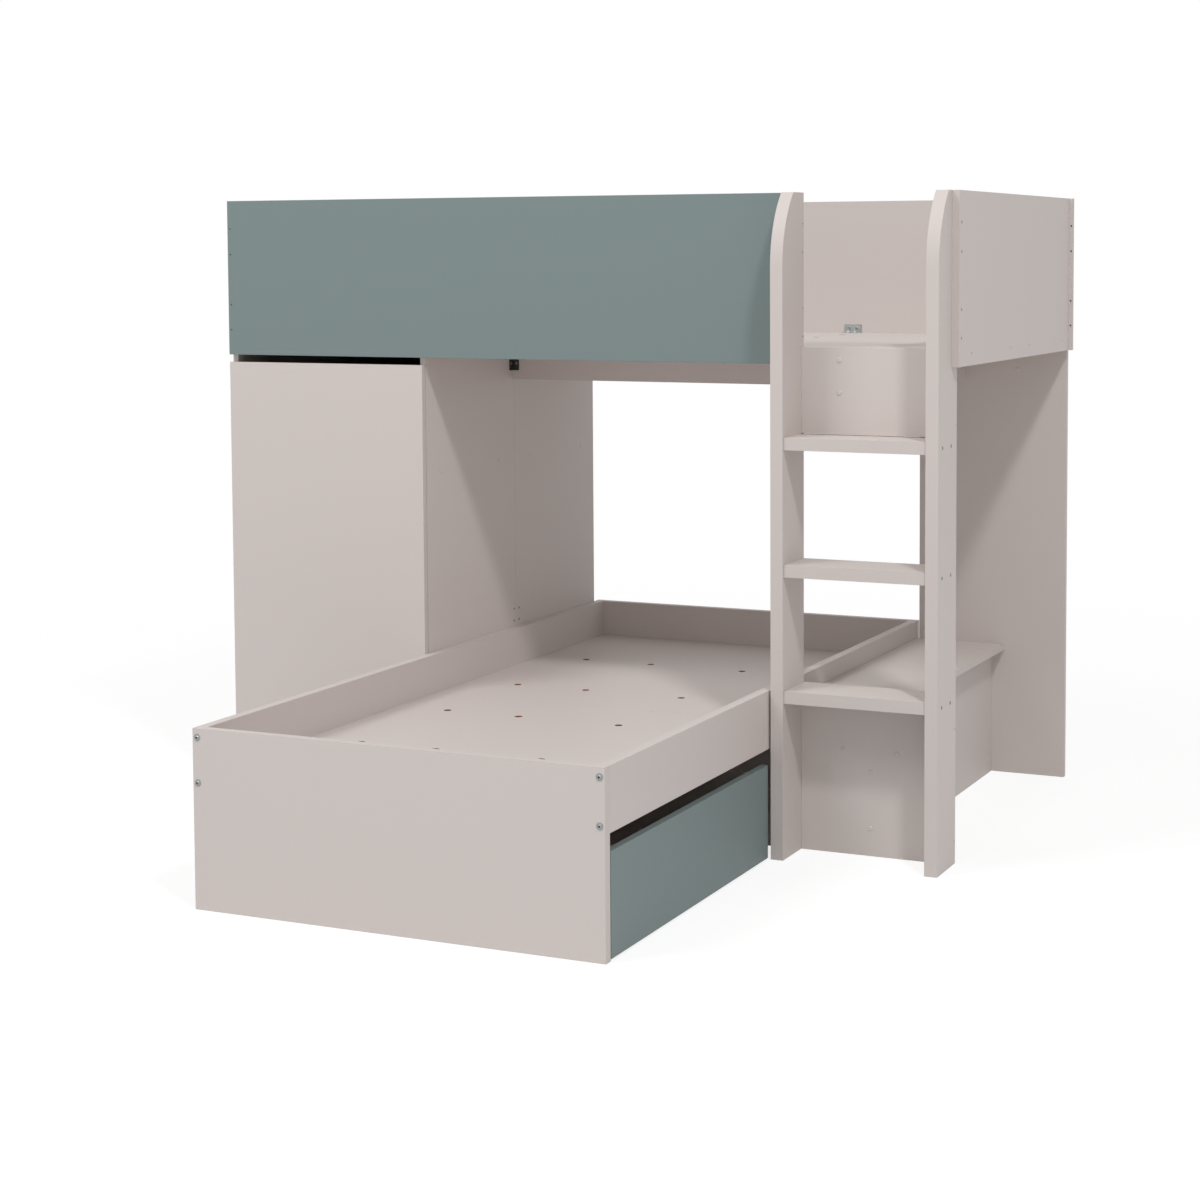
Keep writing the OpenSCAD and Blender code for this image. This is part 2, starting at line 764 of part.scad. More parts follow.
module wardrobe_bottom() color(greige) placed()
    difference() {
        board([carcass_t, inner_front_y, plinth_h],
              [wardrobe_w - 2 * carcass_t, groove_y - inner_front_y, carcass_t]);
        holes(bottom_left_screws);
        holes(bottom_right_screws);
    }

module wardrobe_back() color(greige) placed()
    board([carcass_t - groove_d, groove_y, plinth_h],
          [wardrobe_w - 2 * (carcass_t - groove_d), back_t, guard_z - plinth_h]);

module wardrobe_shelves() color(greige) placed()
    for (y = [shelf_front_y, rear_shelf_y0])
        difference() {
            board([carcass_t, y, shelf_z],
                  [wardrobe_w - 2 * carcass_t, min(shelf_d, groove_y - y), carcass_t]);
            holes(shelf_left_screws);
            holes(shelf_right_screws);
        }

module wardrobe_plinth() color(greige) placed()
    board([carcass_t, inner_front_y + 20, 0], [wardrobe_w - 2 * carcass_t, carcass_t, plinth_h]);

// Round tube that rests in a socket at each end
module hanging_rail() color(zinc) placed()
    translate([carcass_t + socket_t, rail_y, rail_z]) rotate([0, 90, 0])
        difference() {
            cylinder(d = hanging_rail_d, h = wardrobe_w - 2 * (carcass_t + socket_t), $fn = round_fn);
            translate([0, 0, -cut])
                cylinder(d = hanging_rail_d - 2.4,
                         h = wardrobe_w - 2 * (carcass_t + socket_t) + 2 * cut, $fn = round_fn);
        }

// Screws of a rail socket, above and below the rail
module rail_screws_at(side_x) {
    s = side_x > wardrobe_w / 2 ? -1 : 1;
    for (dz = [-1, 1])
        translate([side_x + s * (carcass_t + socket_t), rail_y, rail_z + dz * rail_screw_r])
            rotate(s > 0 ? face_right : face_left) children();
}

module rail_screw_holes(side_x) {
    rail_screws_at(side_x)
        translate([0, 0, -rail_screw_l - fit])
            cylinder(d = rail_screw_d + 2 * fit, h = rail_screw_l + fit + cut, $fn = head_fn);
}

// Flanged socket round one end of the rail, drawn on z = 0 facing +z
module rail_socket() {
    difference() {
        union() {
            cylinder(d = socket_flange_d, h = socket_t, $fn = round_fn);
            cylinder(d = hanging_rail_d + 2 * socket_wall, h = socket_t + socket_collar_h, $fn = round_fn);
        }
        translate([0, 0, socket_t])
            cylinder(d = hanging_rail_d + 2 * fit, h = socket_collar_h + cut, $fn = round_fn);
    }
}

module hanging_rail_sockets() color(zinc) placed()
    difference() {
        union() {
            translate([carcass_t, rail_y, rail_z]) rotate(face_right) rail_socket();
            translate([right_side_x0, rail_y, rail_z]) rotate(face_left) rail_socket();
        }
        rail_screw_holes(0);
        rail_screw_holes(wardrobe_w);
    }

// Small screws of the rail sockets
module rail_screws() {
    for (x = [0, wardrobe_w])
        rail_screws_at(x) rotate_extrude($fn = head_fn)
            polygon([[0, -rail_screw_l], [rail_screw_d / 2, -rail_screw_l + rail_screw_d],
                     [rail_screw_d / 2, 0], [rail_screw_d, 0], [rail_screw_d * 0.7, 1], [0, 1]]);
}

module joining_plate(x, zc) {
    board([x, side_seam_y - plate_size[0] / 2 + 4, zc - plate_size[1] / 2],
          [plate_t, plate_size[0], plate_size[1]]);
}

module side_joining_plates() color(zinc) placed()
    difference() {
        for (zc = plate_mid_z) {
            joining_plate(carcass_t, zc);
            joining_plate(right_side_x0 - plate_t, zc);
        }
        holes(plate_left_screws);
        holes(plate_right_screws);
    }

// -------------------------------------------------------- door and hinges

module cup_bore(z) {
    translate([cup_x, door_rear_y + cut, z]) rotate([90, 0, 0])
        cylinder(d = cup_d + 2 * fit, h = cup_depth + fit + cut, $fn = round_fn);
}

module wardrobe_door() color(greige) placed()
    difference() {
        board([door_x0, door_front_y, door_z0],
              [door_x1 - door_x0, carcass_t, door_z1 - door_z0]);
        for (z = hinge_z) {
            cup_bore(z);
            translate([cup_x, door_rear_y, z]) cup_ears() translate([0, 0, -cup_screw_l - fit])
                cylinder(d = cup_screw_d + 2 * fit, h = cup_screw_l, $fn = head_fn);
        }
    }

// Screws through the two ears of a cup, heads on the flange
module cup_ears() {
    for (dz = [-1, 1])
        translate([cup_ear[0], cup_flange_t, dz * cup_ear[1]]) rotate(face_rear) children();
}

// Flange with two ears, cut straight where the wardrobe side begins
module cup_flange() {
    rotate([90, 0, 180]) mirror([1, 0, 0]) linear_extrude(cup_flange_t)
        difference() {
            union() {
                circle(d = cup_d + 3, $fn = round_fn);
                for (s = [-1, 1])
                    translate([cup_ear[0], s * cup_ear[1]]) circle(d = cup_ear_d, $fn = round_fn);
                polygon([[cup_ear[0] - 6, -cup_ear[1]], [cup_ear[0] + 6, -cup_ear[1]], [18, 0],
                         [cup_ear[0] + 6, cup_ear[1]], [cup_ear[0] - 6, cup_ear[1]], [-8, 14], [-8, -14]]);
            }
            translate([-cup_d, -cup_d]) square([cup_d - cup_x + carcass_t + 1, 2 * cup_d]);
        }
}

// Cup let into the door, open towards the arm, with its screws
module hinge_cup() {
    difference() {
        union() {
            rotate(face_front) cylinder(d = cup_d, h = cup_depth, $fn = round_fn);
            cup_flange();
        }
        translate([0, cup_flange_t + cut, 0]) rotate(face_front)
            cylinder(d = cup_d - 2 * cup_wall, h = cup_depth - cup_wall + cup_flange_t + cut, $fn = round_fn);
        cup_ears() translate([0, 0, -cup_screw_l])
            cylinder(d = cup_screw_d + 2 * fit, h = 2 * cup_screw_l, $fn = head_fn);
    }
    cup_ears() rotate_extrude($fn = head_fn)
        polygon([[0, -cup_screw_l], [cup_screw_d / 2, -cup_screw_l + cup_screw_d], [cup_screw_d / 2, 0],
                 [cup_screw_d, 0], [cup_screw_d * 0.7, 1], [0, 1]]);
}

module door_hinge_cups() color(zinc) placed()
    for (z = hinge_z) translate([cup_x, door_rear_y, z]) hinge_cup();

// Link with an eye on the arm's pin and a rounded tip inside the cup
module hinge_link() {
    d = link_tip - link_pivot;
    len = norm(d);
    translate([link_pivot[0], link_pivot[1], -link_w / 2]) rotate([0, 0, atan2(d[1], d[0])])
        linear_extrude(link_w)
            difference() {
                union() {
                    translate([0, -link_t / 2]) square([len, link_t]);
                    circle(d = link_eye_d, $fn = round_fn);
                    translate([len, 0]) circle(d = link_tip_d, $fn = head_fn);
                }
                circle(d = pivot_pin_d + 2 * pivot_fit, $fn = round_fn);
            }
}

module door_hinge_links() color(zinc) placed()
    for (z = hinge_z) translate([0, 0, z]) hinge_link();

// Outline of the arm's cheeks, seen from above
module arm_outline() {
    r = link_eye_d / 2 + 0.5;
    px = link_pivot[0];
    py = link_pivot[1];
    translate(link_pivot) circle(r = r, $fn = round_fn);
    polygon([[px - r, py], [px + r, py], [px + r, py + 8], [arm_high_x, py + 34], [arm_high_x, arm_rear_y],
             [arm_low_x, arm_rear_y], [arm_low_x, py + 30]]);
}

// Folded sheet arm: two cheeks joined by a web on the side away from the board
module arm_channel() {
    px = link_pivot[0] + link_eye_d / 2 + 0.5;
    py = link_pivot[1];
    for (z = [-arm_w / 2, arm_w / 2 - arm_sheet])
        translate([0, 0, z]) linear_extrude(arm_sheet) arm_outline();
    translate([0, 0, -arm_w / 2]) linear_extrude(arm_w)
        polygon([[px - arm_sheet, py + 7], [px, py + 7], [px, py + 8], [arm_high_x, py + 34],
                 [arm_high_x, arm_rear_y], [arm_high_x - arm_sheet, arm_rear_y],
                 [arm_high_x - arm_sheet, py + 34 - arm_sheet], [px - arm_sheet, py + 8 - arm_sheet]]);
}

module mount_screws_at() {
    for (dz = [-1, 1])
        translate([arm_low_x, mount_plate_y, dz * mount_screw_dz]) rotate(face_right) children();
}

// Cross shaped mounting plate with the block that the arm is screwed to
module mount_plate() {
    difference() {
        union() {
            board([carcass_t, mount_plate_y - mount_plate_size[0] / 2, -mount_plate_size[1] / 2],
                  [mount_plate_t, mount_plate_size[0], mount_plate_size[1]]);
            board([carcass_t, mount_plate_y - 12, -arm_w / 2], [mount_plate_t, mount_block[1], arm_w]);
            board([arm_low_x, mount_plate_y - 12, fit + arm_sheet - arm_w / 2],
                  [mount_block[0], mount_block[1], arm_w - 2 * arm_sheet - 2 * fit]);
        }
        mount_screws_at() translate([0, 0, -mount_plate_t - cut])
            cylinder(d = screw_d + 2 * fit, h = mount_plate_t + 2 * cut, $fn = head_fn);
    }
    mount_screws_at() domed_screw(mount_screw_l);
}

// Arm and mounting plate on the inner face of the left side
module hinge_arm() {
    difference() {
        arm_channel();
        translate([link_pivot[0], link_pivot[1], -arm_w / 2 - cut])
            cylinder(d = pivot_pin_d, h = arm_w + 2 * cut, $fn = round_fn);
    }
    translate([link_pivot[0], link_pivot[1], -arm_w / 2])
        cylinder(d = pivot_pin_d, h = arm_w, $fn = round_fn);
    mount_plate();
}

module door_hinge_arms() color(zinc) placed()
    for (z = hinge_z) translate([0, 0, z]) hinge_arm();

module arm_screw_holes() {
    for (z = hinge_z) translate([0, 0, z])
        mount_screws_at() translate([0, 0, -mount_screw_l - fit])
            cylinder(d = screw_d + 2 * fit, h = mount_screw_l + cut, $fn = head_fn);
}

// --------------------------------------------------------------- lower bed

// Foot or head panel standing on the floor
module bed_end(y, bolts) {
    difference() {
        board([bed_x0, y, 0], [bed_x1 - bed_x0, bed_end_t, lower_h]);
        holes(bolts, bolt_d);
    }
}

module bed_foot_panel() color(greige) placed() bed_end(foot_y, foot_bolts);

module bed_head_panel() color(greige) placed() bed_end(bed_inner_y1, head_bolts);

// Holes for the threaded inserts in the rail ends
module insert_holes() {
    for (x = bolt_x, z = bolt_z) {
        translate([x, bed_inner_y0 - cut, z]) rotate([-90, 0, 0])
            cylinder(d = insert_d + 2 * fit, h = insert_l + cut, $fn = head_fn);
        translate([x, bed_inner_y1 + cut, z]) rotate([90, 0, 0])
            cylinder(d = insert_d + 2 * fit, h = insert_l + cut, $fn = head_fn);
    }
}

module bed_rail(x) {
    difference() {
        board([x, bed_inner_y0, lower_rail_z], [bed_rail_t, lower_inner_l, lower_rail_h]);
        insert_holes();
        holes(foot_bolts, bolt_d);
        holes(head_bolts, bolt_d);
    }
}

module bed_left_rail() color(greige) placed() bed_rail(bed_x0);

module bed_right_rail() color(greige) placed() bed_rail(bed_inner_x1);

module lower_vents(side) {
    for (dx = vent_off_across, dy = vent_off_lower)
        translate([bed_mid_x + dx, bed_mid_y + side * dy, lower_platform_under - cut])
            cylinder(d = vent_d, h = lower_platform_t + 2 * cut, $fn = round_fn);
}

module bed_platform_foot() color(greige) placed()
    difference() {
        board([bed_inner_x0, bed_inner_y0, lower_platform_under],
              [lower_inner_w, bed_mid_y - seam / 2 - bed_inner_y0, lower_platform_t]);
        lower_vents(-1);
    }

module bed_platform_head() color(greige) placed()
    difference() {
        board([bed_inner_x0, bed_mid_y + seam / 2, lower_platform_under],
              [lower_inner_w, bed_inner_y1 - bed_mid_y - seam / 2, lower_platform_t]);
        lower_vents(1);
    }

// Battens along both rails, in front of and behind the cross panel
module bed_cleats() color(greige) placed()
    for (x = [bed_inner_x0, bed_inner_x1 - cleat_w]) {
        board([x, bed_inner_y0, lower_rail_z],
              [cleat_w, bed_mid_y - bed_rail_t / 2 - bed_inner_y0, lower_platform_under - lower_rail_z]);
        board([x, bed_mid_y + bed_rail_t / 2, lower_rail_z],
              [cleat_w, bed_inner_y1 - bed_mid_y - bed_rail_t / 2, lower_platform_under - lower_rail_z]);
    }

module bed_cross_panel() color(greige) placed()
    board([bed_inner_x0, bed_mid_y - bed_rail_t / 2, 0],
          [lower_inner_w, bed_rail_t, lower_platform_under]);

// Bolt with a flanged dome head and a hexagon socket
module bed_bolt() {
    r = bolt_d / 2;
    rf = bolt_head_d / 2;
    difference() {
        rotate_extrude($fn = head_fn)
            polygon([[0, -bolt_l], [r - 0.6, -bolt_l], [r, 0.6 - bolt_l], [r, 0], [rf, 0], [rf, 0.8],
                     [rf * 0.62, 1.4], [rf * 0.52, bolt_head_h * 0.75], [rf * 0.36, bolt_head_h],
                     [0, bolt_head_h]]);
        translate([0, 0, 0.8]) cylinder(d = 4.6, h = bolt_head_h, $fn = 6);
    }
}

module bed_bolts() color(zinc) placed()
    for (e = concat(foot_bolts, head_bolts)) put(e) bed_bolt();

module insert_nut() {
    difference() {
        cylinder(d = insert_d, h = insert_l, $fn = head_fn);
        translate([0, 0, -cut]) cylinder(d = bolt_d + 2 * fit, h = insert_l + 2 * cut, $fn = head_fn);
    }
}

module bed_insert_nuts() color(zinc) placed()
    for (x = bolt_x, z = bolt_z) {
        translate([x, bed_inner_y0, z]) rotate([-90, 0, 0]) insert_nut();
        translate([x, bed_inner_y1, z]) rotate([90, 0, 0]) insert_nut();
    }

// ------------------------------------------------------------------ drawer

module drawer_front() color(teal) placed()
    board([drawer_box_x1, drawer_y0, drawer_floor_gap], [panel_t, drawer_y1 - drawer_y0, drawer_front_h]);

module drawer_side_foot() color(greige) placed()
    board([drawer_box_x0, drawer_box_y0, drawer_side_z], [drawer_depth, drawer_side_t, drawer_side_h]);

module drawer_side_ladder() color(greige) placed()
    board([drawer_box_x0, drawer_box_y1 - drawer_side_t, drawer_side_z],
          [drawer_depth, drawer_side_t, drawer_side_h]);

module drawer_back() color(greige) placed()
    board([drawer_box_x0, drawer_box_y0 + drawer_side_t, drawer_side_z],
          [drawer_side_t, drawer_box_y1 - drawer_box_y0 - 2 * drawer_side_t, drawer_side_h]);

module drawer_bottom() color(greige) placed()
    board([drawer_box_x0, drawer_box_y0, castor_h],
          [drawer_depth, drawer_box_y1 - drawer_box_y0, drawer_bottom_t]);

// Cheek of a castor housing, in the wheel's plane, with its rounded foot
module cheek_outline() {
    circle(r = 9, $fn = round_fn);
    translate([-9, 0]) square([18, castor_h - wheel_r - castor_plate_t]);
    translate([-14, castor_h - wheel_r - castor_plate_t - 8]) square([28, 8]);
}

module castor_housing() {
    half = wheel_w / 2 + cheek_gap;
    translate([-castor_plate / 2, -castor_plate / 2, castor_h - castor_plate_t])
        cube([castor_plate, castor_plate, castor_plate_t]);
    difference() {
        for (y = [-half - cheek_t, half])
            translate([0, y + cheek_t, wheel_r]) rotate([90, 0, 0]) linear_extrude(cheek_t) cheek_outline();
        translate([0, -half - cheek_t - cut, wheel_r]) rotate([-90, 0, 0])
            cylinder(d = stub_d + 2 * stub_fit, h = 2 * (half + cheek_t + cut), $fn = round_fn);
    }
}

module castor_housings() color(dark_grey) placed()
    for (c = castor_xy) translate([c[0], c[1], 0]) castor_housing();

// Wheel with stub axles that snap into the housing's cheeks
module castor_wheel(i) color(dark_grey) placed()
    translate([castor_xy[i][0], castor_xy[i][1], wheel_r]) rotate([-90, 0, 0]) {
        half = wheel_w / 2;
        stub = half + cheek_gap + cheek_t;
        rotate_extrude($fn = 64)
            polygon([[0, -stub], [stub_d / 2, -stub], [stub_d / 2, -half], [7, -half], [8, -half + 2],
                     [wheel_r - 4, -half + 2], [wheel_r - 3, -half], [wheel_r - 1, -half],
                     [wheel_r, -half + 1], [wheel_r, half - 1], [wheel_r - 1, half],
                     [wheel_r - 3, half], [wheel_r - 4, half - 2], [8, half - 2], [7, half],
                     [stub_d / 2, half], [stub_d / 2, stub], [0, stub]]);
    }

module castor_wheel_1() castor_wheel(0);

module castor_wheel_2() castor_wheel(1);

module castor_wheel_3() castor_wheel(2);

module castor_wheel_4() castor_wheel(3);

// --------------------------------------------------- fastener and trim nodes

module panel_screws() color(zinc) placed() {
    domed_screws(guard_left_screws);
    domed_screws(guard_right_screws);
    domed_screws(end_lap_screws);
    domed_screws(end_platform_screws);
    domed_screws(left_platform_screws);
    domed_screws(rear_left_screws);
    domed_screws(rear_right_screws);
    domed_screws(support_guard_screws);
    domed_screws(plate_right_screws);
    domed_screws(plate_left_screws);
    domed_screws(all_rung_screws_left);
    domed_screws(all_rung_screws_right);
    domed_screws(left_stile_low_screws);
    domed_screws(right_stile_low_screws);
    flush_screws(left_stile_top_screws);
    flush_screws(right_stile_top_screws);
    flush_screws(bearer_front_screws);
    flush_screws(bearer_rear_screws);
    flush_screws(low_front_screws);
    flush_screws(low_rear_screws);
    flush_screws(divider_screws);
    flush_screws(shelf_right_screws);
    flush_screws(shelf_left_screws);
    flush_screws(bottom_left_screws);
    flush_screws(bottom_right_screws);
    domed_screws(rear_bracket_screws);
    domed_screws(front_bracket_screws);
    domed_screws(rear_bracket_down);
    domed_screws(front_bracket_down);
    domed_screws(corner_screws);
    rail_screws();
}

module cover_caps() color(greige) placed()
    for (e = concat(bearer_front_screws, bearer_rear_screws, low_front_screws, low_rear_screws,
                    divider_screws, shelf_right_screws, spare_low_caps, spare_support_cap))
        put(e) cap();

// Steel angle with one leg on the platform and one on a guard
module platform_bracket(x, y, side) {
    y_wall = side > 0 ? y - bracket_t : y;
    y_flat = side > 0 ? y - bracket_leg : y;
    board([x, y_wall, platform_top_z], [bracket_w, bracket_t, bracket_leg]);
    board([x, y_flat, platform_top_z], [bracket_w, bracket_leg, bracket_t]);
}

module angle_brackets() color(zinc) placed()
    difference() {
        union() {
            for (x = bracket_x) {
                platform_bracket(x, inner_rear_y, 1);
                platform_bracket(x, inner_front_y, -1);
            }
            board([wardrobe_w, mid_rail_y - corner_leg, corner_z], [corner_t, corner_leg, corner_h]);
            board([wardrobe_w, mid_rail_y - corner_t, corner_z], [corner_leg, corner_t, corner_h]);
            board([bearer_x - corner_t, mid_rail_y - corner_leg, corner_z],
                  [corner_t, corner_leg, corner_h]);
            board([bearer_x - corner_leg, mid_rail_y - corner_t, corner_z],
                  [corner_leg, corner_t, corner_h]);
        }
        holes(rear_bracket_screws);
        holes(front_bracket_screws);
        holes(rear_bracket_down);
        holes(front_bracket_down);
        holes(corner_screws);
    }

upper_front_guard();
upper_left_end();
upper_right_end();
upper_rear_guard();
upper_platform_left();
upper_platform_right();
platform_mid_rail();
platform_cross_bearer();
upper_front_cleats();
upper_rear_cleats();
ladder_stile_left();
ladder_stile_right();
ladder_rung_lower();
ladder_rung_middle();
ladder_rung_upper();
ladder_top_panel();
ladder_bottom_panel();
rear_support_panel();
low_box_side();
low_box_top();
low_box_divider();
low_box_cleat();
wardrobe_left_front();
wardrobe_left_rear();
wardrobe_right_front();
wardrobe_right_rear();
wardrobe_bottom();
wardrobe_back();
wardrobe_shelves();
wardrobe_plinth();
hanging_rail();
hanging_rail_sockets();
side_joining_plates();
wardrobe_door();
door_hinge_cups();
door_hinge_links();
door_hinge_arms();
bed_foot_panel();
bed_head_panel();
bed_left_rail();
bed_right_rail();
bed_platform_foot();
bed_platform_head();
bed_cleats();
bed_cross_panel();
bed_bolts();
bed_insert_nuts();
drawer_front();
drawer_side_foot();
drawer_side_ladder();
drawer_back();
drawer_bottom();
castor_housings();
castor_wheel_1();
castor_wheel_2();
castor_wheel_3();
castor_wheel_4();
panel_screws();
cover_caps();
angle_brackets();
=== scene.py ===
"""Looks of the l shaped bunk bed: board, plastic and metal finishes, screw heads, light and camera.

All lengths are in metres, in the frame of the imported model: +X along the upper bed from the wardrobe
to the ladder, +Y to the rear, +Z up, with the origin on the floor under the middle of the bed.
"""

import json
import math
import random

import bmesh
import bpy
from mathutils import Matrix, Vector


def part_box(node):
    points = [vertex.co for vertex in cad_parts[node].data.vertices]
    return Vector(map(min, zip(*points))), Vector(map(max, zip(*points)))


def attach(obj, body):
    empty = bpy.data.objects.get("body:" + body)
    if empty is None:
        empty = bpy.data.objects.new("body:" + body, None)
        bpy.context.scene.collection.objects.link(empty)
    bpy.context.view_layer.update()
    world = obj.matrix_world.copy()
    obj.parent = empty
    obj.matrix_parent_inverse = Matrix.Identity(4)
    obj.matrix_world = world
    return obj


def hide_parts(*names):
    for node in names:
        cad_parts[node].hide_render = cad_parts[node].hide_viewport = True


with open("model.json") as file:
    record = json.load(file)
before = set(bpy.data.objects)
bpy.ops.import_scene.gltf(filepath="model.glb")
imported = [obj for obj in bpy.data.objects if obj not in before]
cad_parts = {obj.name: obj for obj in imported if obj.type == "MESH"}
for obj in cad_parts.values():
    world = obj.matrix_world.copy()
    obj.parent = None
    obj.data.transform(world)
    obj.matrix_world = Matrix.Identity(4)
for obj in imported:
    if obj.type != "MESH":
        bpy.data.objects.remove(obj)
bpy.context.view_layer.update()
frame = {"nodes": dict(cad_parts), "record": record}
MM = 0.001
X, Y, Z = range(3)

# ------------------------------------------------------------------ camera
CAMERA_AT = (2.6155, -5.1938, 1.4557)
CAMERA_TURN = math.radians(23.935)
CAMERA_DOWN = math.radians(3.8505)
CAMERA_ROLL = math.radians(0.218)
# Width of the sensor in millimetres; width and focal length of the photograph in pixels
SENSOR = 36.0
PHOTO_SIZE = 1200
FOCAL_PX = 2301.2
# Shares of the frame's width
SHIFT_X = -0.07
SHIFT_Y = -0.16
CLIP_NEAR = 0.05
CLIP_FAR = 200.0


def add_camera():
    """A camera that looks slightly down. The photograph's horizon lies high above its middle, which
    tilt and shift share, so that the object stays in the frame when it is seen from other sides."""
    data = bpy.data.cameras.new("camera")
    data.sensor_width = SENSOR
    data.lens = SENSOR * FOCAL_PX / PHOTO_SIZE
    data.shift_x = SHIFT_X
    data.shift_y = SHIFT_Y
    data.clip_start = CLIP_NEAR
    data.clip_end = CLIP_FAR
    camera = bpy.data.objects.new("camera", data)
    camera.location = CAMERA_AT
    camera.rotation_euler = (math.radians(90) - CAMERA_DOWN, CAMERA_ROLL, CAMERA_TURN)
    bpy.context.scene.collection.objects.link(camera)
    bpy.context.scene.camera = camera


# ----------------------------------------------------------- colour helpers
def srgb(red, green, blue):
    """A linear colour from 0..255 screen values."""
    out = []
    for value in (red, green, blue):
        c = value / 255
        out.append(c / 12.92 if c <= 0.04045 else ((c + 0.055) / 1.055) ** 2.4)
    return (*out, 1.0)


GREIGE = srgb(208, 199, 195)
TEAL = srgb(120, 134, 134)
BAND_GREIGE = srgb(205, 196, 192)
BAND_TEAL = srgb(116, 130, 130)
GLUE_LINE = srgb(120, 104, 92)
CHIP_DARK = srgb(104, 62, 42)
CHIP_LIGHT = srgb(186, 134, 96)
PINE_LIGHT = srgb(222, 192, 148)
PINE_DARK = srgb(190, 150, 100)
HARDBOARD = srgb(156, 131, 106)
CAP_PLASTIC = srgb(206, 197, 193)
DARK_PLASTIC = srgb(58, 58, 60)
TREAD_RUBBER = srgb(84, 84, 86)
BRIGHT_ZINC = srgb(196, 204, 208)
BOLT_ZINC = srgb(152, 154, 154)
SCREW_STEEL = srgb(168, 162, 158)
# Painted shade: the dark colour in the hex sockets stands in for the shade inside them
SOCKET_PAINTED_SHADE = srgb(34, 33, 34)
GALVANISED_LIGHT = srgb(208, 210, 207)
GALVANISED_DARK = srgb(164, 168, 166)
# Painted shade: a dark steel colour for the brackets that sit in the shade under the platform
PAINTED_SHADE_STEEL = srgb(56, 59, 54)
WHITE = (1.0, 1.0, 1.0, 1.0)


# ------------------------------------------------------------ node building
# Span in which most values of a noise lie
NOISE_SPAN = (0.2, 0.8)
# Places of the two colours and of the mixed one among the sockets of a mixing node
MIX_A, MIX_B, MIXED = 6, 7, 2


class Graph:
    """Short calls for building the nodes of one material or of the world."""

    def __init__(self, owner, output="ShaderNodeOutputMaterial"):
        self.owner = owner
        owner.use_nodes = True
        self.tree = owner.node_tree
        self.tree.nodes.clear()
        self.output = self.tree.nodes.new(output)
        self.coords = None

    def node(self, kind, inputs=None, **settings):
        made = self.tree.nodes.new(kind)
        for key, value in settings.items():
            setattr(made, key, value)
        for key, value in (inputs or {}).items():
            self.feed(made.inputs[key], value)
        return made

    def feed(self, socket, value):
        if isinstance(value, bpy.types.NodeSocket):
            self.tree.links.new(value, socket)
        else:
            socket.default_value = value

    def math(self, operation, a, b=0.0):
        made = self.node("ShaderNodeMath", operation=operation)
        self.feed(made.inputs[0], a)
        self.feed(made.inputs[1], b)
        return made.outputs[0]

    def blend(self, a, weight, b):
        """Weighted mean of two values."""
        return self.math("ADD", self.math("MULTIPLY", a, weight), self.math("MULTIPLY", b, 1 - weight))

    def both(self, a, b):
        return self.math("MULTIPLY", a, b)

    def mix(self, amount, a, b):
        made = self.node("ShaderNodeMix", data_type="RGBA")
        self.feed(made.inputs[0], amount)
        self.feed(made.inputs[MIX_A], a)
        self.feed(made.inputs[MIX_B], b)
        return made.outputs[MIXED]

    def ramp(self, value, low, high, to_low=0.0, to_high=1.0):
        made = self.node("ShaderNodeMapRange", {"Value": value, "From Min": low, "From Max": high,
                                                "To Min": to_low, "To Max": to_high})
        return made.outputs[0]

    def choose(self, mask, off, on):
        """One number where a mask is 0 and another where it is 1."""
        return self.ramp(mask, 0.0, 1.0, off, on)

    def position(self):
        """Position in the frame of the object at rest, in metres."""
        if self.coords is None:
            self.coords = self.node("ShaderNodeTexCoord").outputs["Object"]
        return self.coords

    def split(self, vector):
        return self.node("ShaderNodeSeparateXYZ", {"Vector": vector}).outputs

    def rest_normal(self):
        """Normal in the object's own frame, so that it holds at every pose."""
        normal = self.node("ShaderNodeNewGeometry").outputs["Normal"]
        turned = self.node("ShaderNodeVectorTransform", {"Vector": normal},
                           vector_type="NORMAL", convert_from="WORLD", convert_to="OBJECT")
        return turned.outputs[0]

    def noise(self, scale, detail=2.0, rough=0.5, vector=None):
        """Noise with about `scale` waves to the metre."""
        made = self.node("ShaderNodeTexNoise", {"Vector": vector or self.position(), "Scale": scale,
                                                "Detail": detail, "Roughness": rough})
        return made.outputs[0]

    def grain(self, scale, vector=None):
        """A crisper noise, for what is eroded, pressed or sawn."""
        return self.noise(scale, rough=0.6, vector=vector)

    def cells(self, scale):
        """A random value for each cell of a cell pattern."""
        made = self.node("ShaderNodeTexVoronoi", {"Vector": self.position(), "Scale": scale})
        return self.split(made.outputs["Color"])[0]

    def bump(self, height, depth, strength):
        made = self.node("ShaderNodeBump", {"Height": height, "Distance": depth, "Strength": strength})
        return made.outputs[0]

    def show(self, shader):
        """Ends the graph with a shader and gives back its material or world."""
        self.tree.links.new(shader.outputs[0], self.output.inputs[0])
        return self.owner

    def surface(self, **inputs):
        shader = self.node("ShaderNodeBsdfPrincipled")
        for key, value in inputs.items():
            self.feed(shader.inputs[key.replace("_", " ")], value)
        return self.show(shader)


def material_graph(name):
    return Graph(bpy.data.materials.new(name))


def vary(graph, colour, value, amount):
    """A colour made darker and lighter by a noise value of about 0 to 1."""
    low = tuple(c * (1 - amount) for c in colour[:3]) + (1.0,)
    high = tuple(min(1.0, c * (1 + amount)) for c in colour[:3]) + (1.0,)
    return graph.mix(value, low, high)


# ---------------------------------------------------------------- materials
# Widths of the edge band and the glue line behind it, and how far in the walls of holes begin
BAND_T = 0.8 * MM
GLUE_T = 0.15 * MM
WALL_INSET = 0.6 * MM
GLUE_SHOWS = 0.35
# A normal nearer than this to the board's thin axis belongs to one of its faces
FACE_ON = 0.7
FACE_GRAIN = 1400.0
FACE_CLOUD = 3.0
FACE_PORES = 5200.0
FACE_ROUGH = (0.50, 0.60)
HOLE_ROUGH = 0.9
MELAMINE_IOR = 1.45
CHIPS = 900.0
CHIP_DUST = 2600.0


